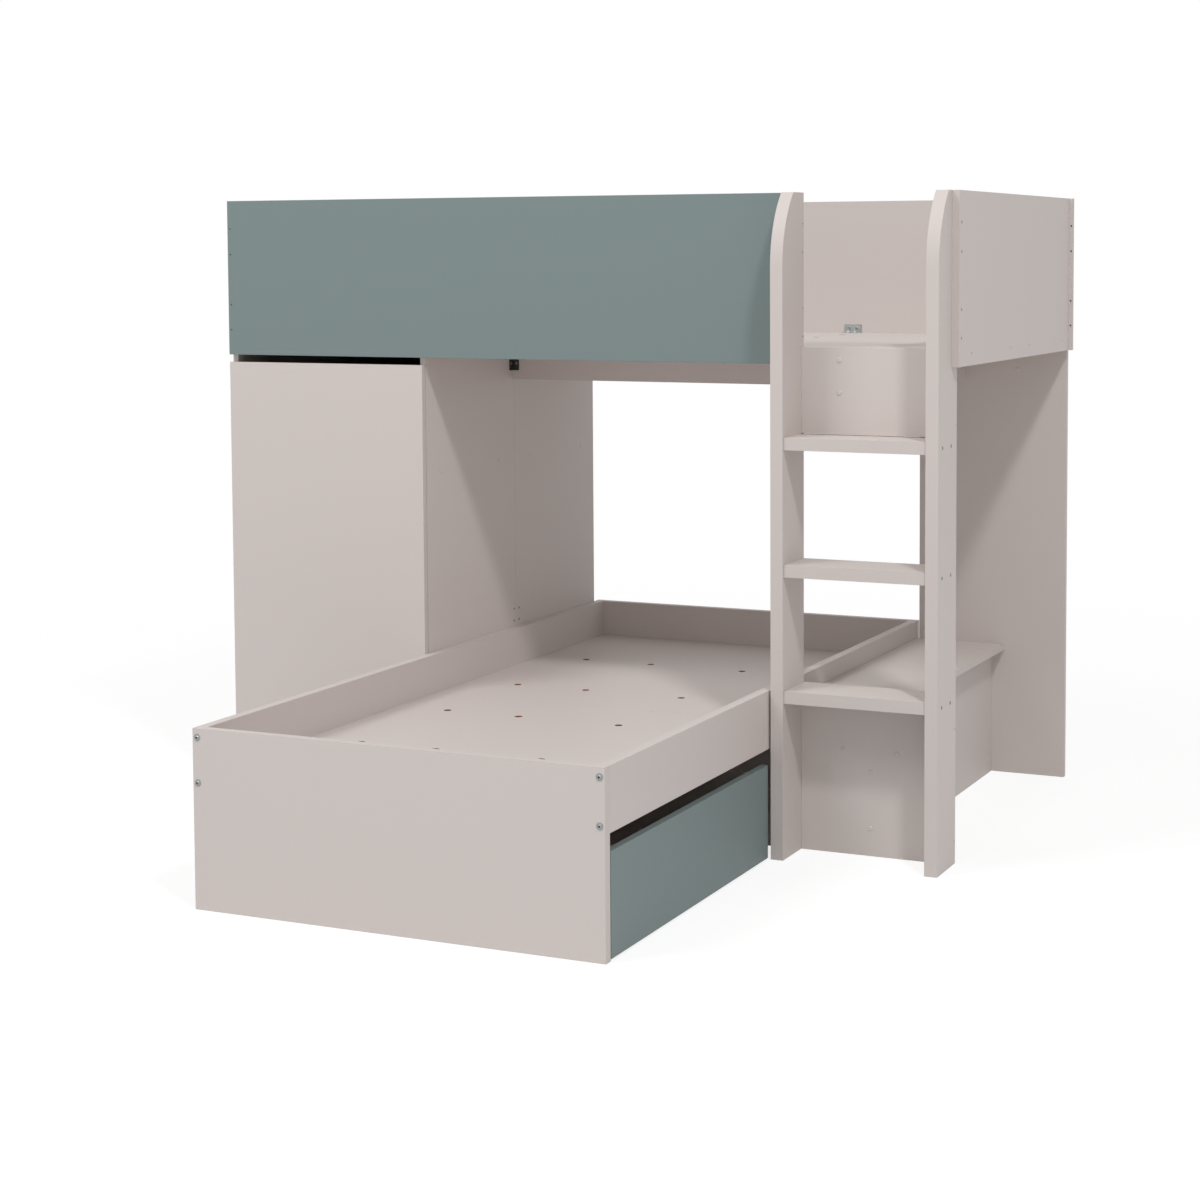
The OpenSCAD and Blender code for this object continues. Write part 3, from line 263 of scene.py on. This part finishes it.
def border_distance(graph, place, low, high, axes):
    """Distance from a point of the board to the nearest of its four edges."""
    nearest = None
    for axis in axes:
        for side in (graph.math("SUBTRACT", place[axis], low[axis]),
                     graph.math("SUBTRACT", high[axis], place[axis])):
            nearest = side if nearest is None else graph.math("MINIMUM", nearest, side)
    return nearest


def chipboard_colour(graph):
    """Pressed wood chips as they show in a drilled hole."""
    tone = graph.blend(graph.cells(CHIPS), 0.7, graph.noise(CHIP_DUST, detail=3.0))
    return graph.mix(tone, CHIP_DARK, CHIP_LIGHT)


def board_material(node, colour, band, drilled=False):
    """Melamine faced board with banded edges; a drilled board shows its core in the holes."""
    graph = material_graph("board_" + node)
    low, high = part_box(node)
    size = [high[i] - low[i] for i in range(3)]
    thin = size.index(min(size))
    flat_axes = [i for i in range(3) if i != thin]
    place = graph.split(graph.position())
    along_thin = graph.math("ABSOLUTE", graph.split(graph.rest_normal())[thin])
    is_face = graph.math("GREATER_THAN", along_thin, FACE_ON)
    border = border_distance(graph, place, low, high, flat_axes)

    grain = graph.grain(FACE_GRAIN)
    face_colour = vary(graph, colour, graph.blend(graph.noise(FACE_CLOUD), 0.5, grain), amount=0.012)
    band_colour = vary(graph, band, grain, amount=0.01)
    on_band = graph.math("LESS_THAN", border, BAND_T)
    on_glue = graph.both(graph.math("LESS_THAN", border, BAND_T + GLUE_T),
                         graph.math("GREATER_THAN", border, BAND_T))
    shown = graph.mix(on_band, face_colour, band_colour)
    shown = graph.mix(graph.math("MULTIPLY", on_glue, GLUE_SHOWS), shown, GLUE_LINE)
    shown = graph.mix(is_face, band_colour, shown)
    rough = graph.ramp(grain, *NOISE_SPAN, *FACE_ROUGH)
    height = graph.blend(grain, 0.7, graph.noise(FACE_PORES, detail=1.0))
    if drilled:
        deep = graph.math("GREATER_THAN", border, WALL_INSET)
        wall = graph.both(deep, graph.math("SUBTRACT", 1.0, is_face))
        shown = graph.mix(wall, shown, chipboard_colour(graph))
        rough = graph.math("MAXIMUM", rough, graph.math("MULTIPLY", wall, HOLE_ROUGH))
    return graph.surface(Base_Color=shown, Roughness=rough, IOR=MELAMINE_IOR,
                         Normal=graph.bump(height, depth=0.04 * MM, strength=0.35))


def stretched(graph, axis, factor):
    """The position with one axis shortened, so that a texture runs along it."""
    scale = [1.0, 1.0, 1.0]
    scale[axis] = factor
    made = graph.node("ShaderNodeMapping", {"Vector": graph.position(), "Scale": scale})
    return made.outputs[0]


PINE_RINGS = 60.0
RING_SPAN = (0.35, 0.65)
PINE_FIBRES = 900.0
PINE_STRETCH = 0.05
PINE_ROUGH = (0.55, 0.7)


def pine_material(node):
    """Planed softwood with its grain along the batten."""
    graph = material_graph("pine_" + node)
    low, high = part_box(node)
    size = [high[i] - low[i] for i in range(3)]
    lengthwise = stretched(graph, size.index(max(size)), PINE_STRETCH)
    rings = graph.ramp(graph.noise(PINE_RINGS, 3.0, 0.55, lengthwise), *RING_SPAN)
    fibres = graph.grain(PINE_FIBRES, lengthwise)
    return graph.surface(Base_Color=graph.mix(graph.blend(rings, 0.75, fibres), PINE_DARK, PINE_LIGHT),
                         Roughness=graph.ramp(fibres, *NOISE_SPAN, *PINE_ROUGH),
                         Normal=graph.bump(fibres, depth=0.1 * MM, strength=0.5))


PRESSED_FIBRES = 700.0
PRESSED_CLOUD = 14.0
RAW_ROUGH = 0.8
PAINTED_ROUGH = 0.55


def hardboard_material(node, painted_axis, painted_sign):
    """Thin fibre board, painted on the side that shows and raw on the other."""
    graph = material_graph("hardboard_" + node)
    facing = graph.math("MULTIPLY", graph.split(graph.rest_normal())[painted_axis], painted_sign)
    painted = graph.math("GREATER_THAN", facing, 0.5)
    fibres = graph.noise(PRESSED_FIBRES, detail=4.0, rough=0.65)
    mottle = graph.blend(fibres, 0.6, graph.noise(PRESSED_CLOUD, detail=3.0))
    raw = vary(graph, HARDBOARD, mottle, amount=0.12)
    front = vary(graph, GREIGE, fibres, amount=0.015)
    return graph.surface(Base_Color=graph.mix(painted, raw, front),
                         Roughness=graph.choose(painted, RAW_ROUGH, PAINTED_ROUGH),
                         Normal=graph.bump(fibres, depth=0.08 * MM, strength=0.5))


METAL_CLOUD = 120.0
METAL_SPAN = (0.3, 0.7)
METAL_PORES = 3000.0


def metal_material(name, colour, rough_low, rough_high):
    """Plated or bare steel with faint rubbing and a slightly cloudy gloss."""
    graph = material_graph(name)
    cloud = graph.noise(METAL_CLOUD, detail=3.0)
    return graph.surface(Base_Color=vary(graph, colour, cloud, amount=0.08), Metallic=1.0,
                         Roughness=graph.ramp(cloud, *METAL_SPAN, rough_low, rough_high),
                         Normal=graph.bump(graph.noise(METAL_PORES), depth=0.02 * MM, strength=0.3))


SPANGLE = 420.0
SPANGLE_DUST = 900.0
SPANGLE_ROUGH = (0.38, 0.55)
# Painted shade on the brackets under the platform: the noise of its dark colour and its lower metallic
PAINTED_SHADE_STEEL_CLOUD = 300.0
BRACKET_PORES = 2000.0
PAINTED_SHADE_STEEL_METALLIC = 0.3
GALVANISED_METALLIC = 0.9


def bracket_material(split_height):
    """Spangled galvanised steel above a height; below it painted shade: the same brackets made darker and
    less metallic, standing in for the shade under the platform.
    """
    graph = material_graph("bracket_steel")
    spangle = graph.cells(SPANGLE)
    flakes = graph.blend(spangle, 0.7, graph.noise(SPANGLE_DUST))
    bright = graph.mix(flakes, GALVANISED_DARK, GALVANISED_LIGHT)
    dark = vary(graph, PAINTED_SHADE_STEEL, graph.noise(PAINTED_SHADE_STEEL_CLOUD, detail=3.0), amount=0.15)
    upper = graph.math("GREATER_THAN", graph.split(graph.position())[Z], split_height)
    return graph.surface(Base_Color=graph.mix(upper, dark, bright),
                         Metallic=graph.choose(upper, PAINTED_SHADE_STEEL_METALLIC, GALVANISED_METALLIC),
                         Roughness=graph.choose(spangle, *SPANGLE_ROUGH),
                         Normal=graph.bump(graph.noise(BRACKET_PORES), depth=0.03 * MM, strength=0.4))


PLASTIC_GRAIN = 2200.0
PLASTIC_IOR = 1.5


def plastic_material(name, colour, rough_low, rough_high):
    """Moulded plastic with a fine eroded grain."""
    graph = material_graph(name)
    grain = graph.grain(PLASTIC_GRAIN)
    return graph.surface(Base_Color=vary(graph, colour, grain, amount=0.03), IOR=PLASTIC_IOR,
                         Roughness=graph.ramp(grain, *NOISE_SPAN, rough_low, rough_high),
                         Normal=graph.bump(grain, depth=0.03 * MM, strength=0.4))


TREAD_T = 3.5 * MM
WHEEL_GRAIN = 1800.0
HUB_ROUGH = 0.42
TREAD_ROUGH = 0.72


def wheel_material(node):
    """Plastic castor wheel with a softer grey tread."""
    graph = material_graph("wheel_" + node)
    low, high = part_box(node)
    radius = (high[Z] - low[Z]) / 2
    place = graph.split(graph.position())
    across = graph.math("SUBTRACT", place[X], (low[X] + high[X]) / 2)
    up = graph.math("SUBTRACT", place[Z], (low[Z] + high[Z]) / 2)
    reach = graph.math("SQRT", graph.math("ADD", graph.both(across, across), graph.both(up, up)))
    tread = graph.math("GREATER_THAN", reach, radius - TREAD_T)
    grain = graph.grain(WHEEL_GRAIN)
    hub = vary(graph, DARK_PLASTIC, grain, amount=0.05)
    rubber = vary(graph, TREAD_RUBBER, grain, amount=0.08)
    return graph.surface(Base_Color=graph.mix(tread, hub, rubber),
                         Roughness=graph.choose(tread, HUB_ROUGH, TREAD_ROUGH),
                         Normal=graph.bump(grain, depth=0.04 * MM, strength=0.4))


# ------------------------------------------------------------ CAD finishes
DRILLED = ("upper_platform_left", "upper_platform_right", "bed_platform_foot", "bed_platform_head")
BEVEL_W = 0.5 * MM
BEVEL_STEPS = 2
MERGE = 0.01 * MM
SHARP = math.radians(30)
LONG_EDGE = 10 * MM


def set_material(piece, material):
    piece.data.materials.clear()
    piece.data.materials.append(material)


def welded_edges_tree():
    """Geometry nodes that weld the faces, shade them smooth up to sharp edges, and mark the long
    sharp edges for the bevel, so that drilled holes stay crisp."""
    tree = bpy.data.node_groups.new("welded_edges", "GeometryNodeTree")
    for side in ("INPUT", "OUTPUT"):
        tree.interface.new_socket("Geometry", in_out=side, socket_type="NodeSocketGeometry")
    new, link = tree.nodes.new, tree.links.new
    forget = new("GeometryNodeRemoveAttribute")
    forget.inputs["Name"].default_value = "custom_normal"
    weld = new("GeometryNodeMergeByDistance")
    weld.inputs["Distance"].default_value = MERGE
    smooth = new("GeometryNodeSetShadeSmooth")
    crease = new("GeometryNodeSetShadeSmooth")
    crease.domain = "EDGE"
    crease.inputs["Shade Smooth"].default_value = False
    mark = new("GeometryNodeStoreNamedAttribute")
    mark.data_type = "FLOAT"
    mark.domain = "EDGE"
    mark.inputs["Name"].default_value = "bevel_weight_edge"

    angle = new("GeometryNodeInputMeshEdgeAngle")
    is_sharp = new("FunctionNodeCompare")
    is_sharp.inputs[1].default_value = SHARP
    ends = new("GeometryNodeInputMeshEdgeVertices")
    length = new("ShaderNodeVectorMath")
    length.operation = "DISTANCE"
    is_long = new("FunctionNodeCompare")
    is_long.inputs[1].default_value = LONG_EDGE
    long_and_sharp = new("FunctionNodeBooleanMath")
    link(angle.outputs["Unsigned Angle"], is_sharp.inputs[0])
    link(ends.outputs["Position 1"], length.inputs[0])
    link(ends.outputs["Position 2"], length.inputs[1])
    link(length.outputs["Value"], is_long.inputs[0])
    link(is_sharp.outputs[0], long_and_sharp.inputs[0])
    link(is_long.outputs[0], long_and_sharp.inputs[1])
    link(is_sharp.outputs[0], crease.inputs["Selection"])
    link(long_and_sharp.outputs[0], mark.inputs["Value"])

    previous = new("NodeGroupInput")
    for step in (forget, weld, smooth, crease, mark, new("NodeGroupOutput")):
        link(previous.outputs[0], step.inputs[0])
        previous = step
    return tree


def soften_edges(piece, tree):
    """A small rounding on a board's edges, which the banding machine leaves."""
    piece.modifiers.new("weld", "NODES").node_group = tree
    bevel = piece.modifiers.new("edge", "BEVEL")
    bevel.width = BEVEL_W
    bevel.segments = BEVEL_STEPS
    bevel.limit_method = "WEIGHT"
    bevel.harden_normals = True


def finish_cad_nodes(shared):
    slots = {entry["node"]: entry["material_slot"] for entry in frame["record"]["subparts"]}
    tree = welded_edges_tree()
    platform_low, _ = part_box("upper_platform_left")
    single = {
        "wardrobe_back": hardboard_material("wardrobe_back", Y, -1.0),
        "drawer_bottom": hardboard_material("drawer_bottom", Z, 1.0),
        "angle_brackets": bracket_material(platform_low[Z])
    }
    for name, piece in frame["nodes"].items():
        slot = slots[name]
        if name in single:
            set_material(piece, single[name])
        elif slot == "greige_board":
            set_material(piece, board_material(name, GREIGE, BAND_GREIGE, name in DRILLED))
            soften_edges(piece, tree)
        elif slot == "teal_board":
            set_material(piece, board_material(name, TEAL, BAND_TEAL))
            soften_edges(piece, tree)
        elif slot == "pine_batten":
            set_material(piece, pine_material(name))
        elif slot == "zinc_steel":
            set_material(piece, shared["bright_zinc"])
        elif slot == "greige_plastic":
            set_material(piece, shared["cap_plastic"])
        elif name.startswith("castor_wheel"):
            set_material(piece, wheel_material(name))
        else:
            set_material(piece, shared["dark_plastic"])


# -------------------------------------------------------------- fasteners
# What tells the kinds of screw in the node apart, by radius, length and place
FLUSH_R = 2.6 * MM
SHORT_SCREW_L = 15 * MM
PAINTED_SCREW_L = 45 * MM
RUNG_SCREW_L = 60 * MM
RUNGS_END_Y = -20 * MM
GUARD_FRONT_Y = -5 * MM

# Sizes of heads and points in millimetres
RUNG_HEAD_R = 5.6
DRIVE_R = 1.9
RUNG_DRIVE_R = 2.9
SOCKET_RIM = 0.3
SOCKET_DEEP = 1.3
LOW_DOME = 0.8
HIGH_DOME = 2.4
POINT_L = 5
POINT_R = 0.4
FLUSH_DRIVE_R = 1.2
FLUSH_HEAD_R = 2.5
BOLT_DRIVE_R = 2.3
BOLT_FLANGE_R = 8.25
BOLT_SHANK_R = 3.0
BOLT_CHAMFER = 1
BOLT_TIP_R = 2.2

RING = 24
TURN_SEED = 11
# Places of the materials in the lists of looks
STEEL, SOCKET, PLATED, PLUG, TEAL_HEAD = range(5)
SCREW_LOOKS = ("screw_steel", "socket_painted_shade", "bright_zinc", "cap_plastic", "teal_plastic")
BOLT_LOOKS = ("bolt_zinc", "socket_painted_shade")


# The rings of a fastener run from the floor of its socket over the head to the tip. Each is
# (radius, height over the seat, six sided, material), in millimetres.
def round_rings(slot, *outline):
    """The round rings, which share one material, from their radii and heights."""
    return [(radius, height, False, slot) for radius, height in outline]


def socket_rings(drive_r, floor, mouth):
    """The two hexagons of a socket, at the heights of its floor and its mouth, in a dark colour that is
    painted shade.
    """
    return [(drive_r, floor, True, SOCKET), (drive_r, mouth, True, SOCKET)]


def domed_rings(length, head_r, drive_r, dome, slot):
    """Domed head of a panel screw, with a hexagon socket. The dome's points are shares of the head's
    radius and height."""
    rim_r = drive_r + SOCKET_RIM
    edge_r = 0.825 * head_r
    shank_r = 0.625 * head_r
    return socket_rings(drive_r, -SOCKET_DEEP, 0.75 * dome) + round_rings(
        slot, (rim_r, 0.97 * dome), ((rim_r + edge_r) / 2, dome), (edge_r, 0.78 * dome),
        (0.9625 * head_r, 0.45 * dome), (head_r, 0.2 * dome), (head_r, 0.0), (shank_r, 0.0),
        (shank_r, POINT_L - length), (POINT_R, -length))


def flush_rings(length, slot):
    """Head that lies flush with the board."""
    return socket_rings(FLUSH_DRIVE_R, -1.2, -0.12) + round_rings(
        slot, (1.5, 0.0), (2.35, 0.0), (FLUSH_HEAD_R, -0.15), (FLUSH_HEAD_R, POINT_L - length),
        (POINT_R, -length))


def bolt_rings(length, slot):
    """Flanged dome head of a connecting bolt, with a hexagon socket."""
    return socket_rings(BOLT_DRIVE_R, 0.9, 3.3) + round_rings(
        slot, (2.7, 3.5), (3.4, 3.36), (4.2, 2.7), (4.9, 1.6), (5.5, 1.3), (7.6, 0.88), (8.1, 0.68),
        (BOLT_FLANGE_R, 0.45), (BOLT_FLANGE_R, 0.0), (BOLT_SHANK_R, 0.0),
        (BOLT_SHANK_R, BOLT_CHAMFER - length), (BOLT_TIP_R, -length))


def add_ring(form, place, radius, height, six_sided):
    """Vertices of one ring round the local z axis, round or six sided."""
    ring = []
    for i in range(RING):
        angle = math.tau * i / RING
        reach = radius * MM
        if six_sided:
            reach *= math.cos(math.pi / 6) / math.cos(angle % (math.pi / 3) - math.pi / 6)
        point = Vector((reach * math.cos(angle), reach * math.sin(angle), height * MM))
        ring.append(form.verts.new(place @ point))
    return ring


def add_fastener(form, place, rings):
    """A closed turned form through the given rings."""
    previous = None
    for radius, height, six_sided, slot in rings:
        ring = add_ring(form, place, radius, height, six_sided)
        if previous is None:
            form.faces.new(ring).material_index = slot
        else:
            for i in range(RING):
                j = (i + 1) % RING
                form.faces.new((previous[i], ring[i], ring[j], previous[j])).material_index = slot
        previous = ring
    form.faces.new(list(reversed(previous))).material_index = rings[-1][3]


SAME_POINT = 0.001 * MM


def solids_of(node):
    """The points of each separate solid in a CAD node."""
    form = bmesh.new()
    form.from_mesh(frame["nodes"][node].data)
    bmesh.ops.remove_doubles(form, verts=form.verts, dist=SAME_POINT)
    left = set(form.verts)
    solids = []
    for start in form.verts:
        if start not in left:
            continue
        left.remove(start)
        queue = [start]
        points = []
        while queue:
            vert = queue.pop()
            points.append(vert.co.copy())
            for edge in vert.link_edges:
                other = edge.other_vert(vert)
                if other in left:
                    left.remove(other)
                    queue.append(other)
        solids.append(points)
    form.free()
    return solids


def read_fastener(points):
    """Seat and outward direction of a fastener, its length below the seat and its largest radius."""
    low = [min(p[i] for p in points) for i in range(3)]
    high = [max(p[i] for p in points) for i in range(3)]
    seat = Vector([(a + b) / 2 for a, b in zip(low, high)])
    size = [b - a for a, b in zip(low, high)]
    axis = size.index(max(size))
    u, v = [i for i in range(3) if i != axis]
    reach = [math.hypot(p[u] - seat[u], p[v] - seat[v]) for p in points]
    widest = max(reach)
    rim = [p[axis] for p, r in zip(points, reach) if r > widest - MERGE]
    sign = 1 if sum(rim) / len(rim) > seat[axis] else -1
    outward = Vector([sign if i == axis else 0 for i in range(3)])
    if widest > FLUSH_R:
        seat[axis] = min(rim) if sign > 0 else max(rim)
    else:
        seat[axis] = max(rim) if sign > 0 else min(rim)
    tip = low[axis] if sign > 0 else high[axis]
    return seat, outward, abs(seat[axis] - tip), widest


def seat_matrix(point, outward, turns):
    """Place of a fastener: z outwards, turned at random about its own axis."""
    facing = outward.to_track_quat("Z", "Y").to_matrix().to_4x4()
    return Matrix.Translation(point) @ facing @ Matrix.Rotation(turns.uniform(0, math.tau), 4, "Z")


def finish_set(form, name, materials, *replaced):
    """Turns a form into a piece of the frame that stands for the given nodes."""
    mesh = bpy.data.meshes.new(name)
    form.to_mesh(mesh)
    form.free()
    for material in materials:
        mesh.materials.append(material)
    mesh.shade_smooth()
    mesh.set_sharp_from_angle(angle=SHARP)
    piece = bpy.data.objects.new(name, mesh)
    bpy.context.scene.collection.objects.link(piece)
    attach(piece, "bed_frame")
    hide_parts(*replaced)


# Places along the seam from the platform's middle, and across it, then sizes in millimetres
SEAM_SCREW_X = (137 * MM, 172 * MM, 305 * MM, 340 * MM)
SEAM_SCREW_Y = 3 * MM
SEAM_SCREW_L = 12
SEAM_HEAD_R = 2.2
SEAM_DRIVE_R = 0.9


def add_seam_screws(form, turns):
    """Small screws in pairs on both sides of the middle, along the lower platform's seam."""
    low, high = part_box("bed_platform_foot")
    middle = (low[X] + high[X]) / 2
    for offset in SEAM_SCREW_X:
        for side in (-1, 1):
            seat = Vector((middle + side * offset, SEAM_SCREW_Y, high[Z]))
            place = seat_matrix(seat, Vector((0, 0, 1)), turns)
            rings = domed_rings(SEAM_SCREW_L, SEAM_HEAD_R, SEAM_DRIVE_R, LOW_DOME, PLUG)
            add_fastener(form, place, rings)


def panel_screw_rings(length, widest, seat):
    """The look of a screw by its length and place: high plated heads on the brackets, large steel heads
    on the rungs, heads in the board's colour on the other long screws, teal on the guard's front."""
    head_r, drive_r, dome, slot = widest / MM, DRIVE_R, LOW_DOME, STEEL
    if length < SHORT_SCREW_L:
        dome, slot = HIGH_DOME, PLATED
    elif length > RUNG_SCREW_L and seat[Y] < RUNGS_END_Y:
        head_r, drive_r = RUNG_HEAD_R, RUNG_DRIVE_R
    elif length > PAINTED_SCREW_L:
        slot = PLUG if seat[Y] > GUARD_FRONT_Y else TEAL_HEAD
    return domed_rings(length / MM, head_r, drive_r, dome, slot)


def add_panel_screws(shared):
    turns = random.Random(TURN_SEED)
    form = bmesh.new()
    for points in solids_of("panel_screws"):
        seat, outward, length, widest = read_fastener(points)
        place = seat_matrix(seat, outward, turns)
        if widest < FLUSH_R:
            add_fastener(form, place, flush_rings(length / MM, PLUG))
        else:
            add_fastener(form, place, panel_screw_rings(length, widest, seat))
    add_seam_screws(form, turns)
    finish_set(form, "screw_set", [shared[look] for look in SCREW_LOOKS], "panel_screws")


def add_bed_bolts(shared):
    turns = random.Random(TURN_SEED + 1)
    form = bmesh.new()
    for points in solids_of("bed_bolts"):
        seat, outward, length, _ = read_fastener(points)
        add_fastener(form, seat_matrix(seat, outward, turns), bolt_rings(length / MM, STEEL))
    finish_set(form, "bolt_set", [shared[look] for look in BOLT_LOOKS], "bed_bolts")


# ---------------------------------------------------------- floor and light
FLOOR_R = 60.0
FLOOR_SIDES = 64
FLOOR_DROP = 0.5 * MM
FLOOR_ALBEDO = 0.80
# Where the floor is seen: how much of the shadow it takes, and the light added to reach white
FLOOR_SEEN = 0.25
FLOOR_LIFT = 0.80
# Distances from the middle between which it runs out to plain white
FLOOR_NEAR = 1.8
FLOOR_FAR = 4.5


def light_path_mask(graph):
    """1 for rays that show the background: seen, mirrored or through glass."""
    path = graph.node("ShaderNodeLightPath").outputs
    seen = graph.math("MAXIMUM", path["Is Camera Ray"], path["Is Glossy Ray"])
    return graph.math("MAXIMUM", seen, path["Is Transmission Ray"])


def grey(level):
    return (level, level, level, 1.0)


def floor_material():
    """White floor that keeps a faint shadow near the object and runs out to plain white; rays that
    carry light to the object meet a plain pale surface."""
    graph = material_graph("floor")
    plain = graph.node("ShaderNodeBsdfDiffuse", {"Color": grey(FLOOR_ALBEDO)})
    shaded = graph.node("ShaderNodeBsdfDiffuse", {"Color": grey(FLOOR_SEEN)})
    lift = graph.node("ShaderNodeEmission", {"Color": WHITE, "Strength": FLOOR_LIFT})
    near = graph.node("ShaderNodeAddShader", {0: shaded.outputs[0], 1: lift.outputs[0]})
    white = graph.node("ShaderNodeEmission", {"Color": WHITE, "Strength": 1.0})
    reach = graph.node("ShaderNodeVectorMath", {0: graph.position()}, operation="LENGTH").outputs["Value"]
    far = graph.ramp(reach, FLOOR_NEAR, FLOOR_FAR)
    shown = graph.node("ShaderNodeMixShader", {0: far, 1: near.outputs[0], 2: white.outputs[0]})
    either = graph.node("ShaderNodeMixShader", {0: light_path_mask(graph), 1: plain.outputs[0],
                                                2: shown.outputs[0]})
    return graph.show(either)


def add_floor():
    mesh = bpy.data.meshes.new("floor")
    form = bmesh.new()
    bmesh.ops.create_circle(form, cap_ends=True, segments=FLOOR_SIDES, radius=FLOOR_R)
    form.to_mesh(mesh)
    form.free()
    floor = bpy.data.objects.new("floor", mesh)
    floor.location = (0, 0, -FLOOR_DROP)
    bpy.context.scene.collection.objects.link(floor)
    mesh.materials.append(floor_material())


def add_world(strength):
    """An even pale surround, which looks white where it is seen."""
    world = bpy.data.worlds.new("studio")
    bpy.context.scene.world = world
    graph = Graph(world, "ShaderNodeOutputWorld")
    level = graph.choose(light_path_mask(graph), strength, 1.0)
    graph.show(graph.node("ShaderNodeBackground", {"Color": WHITE, "Strength": level}))


WORLD_LEVEL = 0.50
LAMP_REACH = 8.0
LIT_POINT = Vector((0.0, -0.2, 0.8))
# name, azimuth from -Y towards +X and elevation in degrees, side in metres, power in watts
SOFTBOXES = (
    ("key", 48, 50, 0.7, 210),
    ("fill", -35, 50, 3.0, 220)
)


def add_softbox(name, azimuth, elevation, size, power):
    """A square area lamp that faces the middle of the object."""
    turn, rise = math.radians(azimuth), math.radians(elevation)
    away = Vector((math.sin(turn) * math.cos(rise), -math.cos(turn) * math.cos(rise), math.sin(rise)))
    data = bpy.data.lights.new(name, "AREA")
    data.size = size
    data.energy = power
    lamp = bpy.data.objects.new(name, data)
    lamp.location = LIT_POINT + away * LAMP_REACH
    lamp.rotation_euler = (-away).to_track_quat("-Z", "Y").to_euler()
    bpy.context.scene.collection.objects.link(lamp)


def add_lights():
    add_world(WORLD_LEVEL)
    for softbox in SOFTBOXES:
        add_softbox(*softbox)


def shared_materials():
    """Materials that several pieces use. The numbers are the range of their roughness."""
    return {
        "bright_zinc": metal_material("bright_zinc", BRIGHT_ZINC, 0.26, 0.42),
        "bolt_zinc": metal_material("bolt_zinc", BOLT_ZINC, 0.30, 0.45),
        "screw_steel": metal_material("screw_steel", SCREW_STEEL, 0.35, 0.5),
        "socket_painted_shade": metal_material("socket_painted_shade", SOCKET_PAINTED_SHADE, 0.5, 0.65),
        "cap_plastic": plastic_material("cover_plastic", CAP_PLASTIC, 0.35, 0.45),
        "teal_plastic": plastic_material("teal_cover", TEAL, 0.35, 0.45),
        "dark_plastic": plastic_material("castor_plastic", DARK_PLASTIC, 0.4, 0.55)
    }


def main():
    add_camera()
    add_floor()
    add_lights()
    shared = shared_materials()
    finish_cad_nodes(shared)
    add_panel_screws(shared)
    add_bed_bolts(shared)


main()
bpy.context.scene.view_settings.view_transform = "Standard"
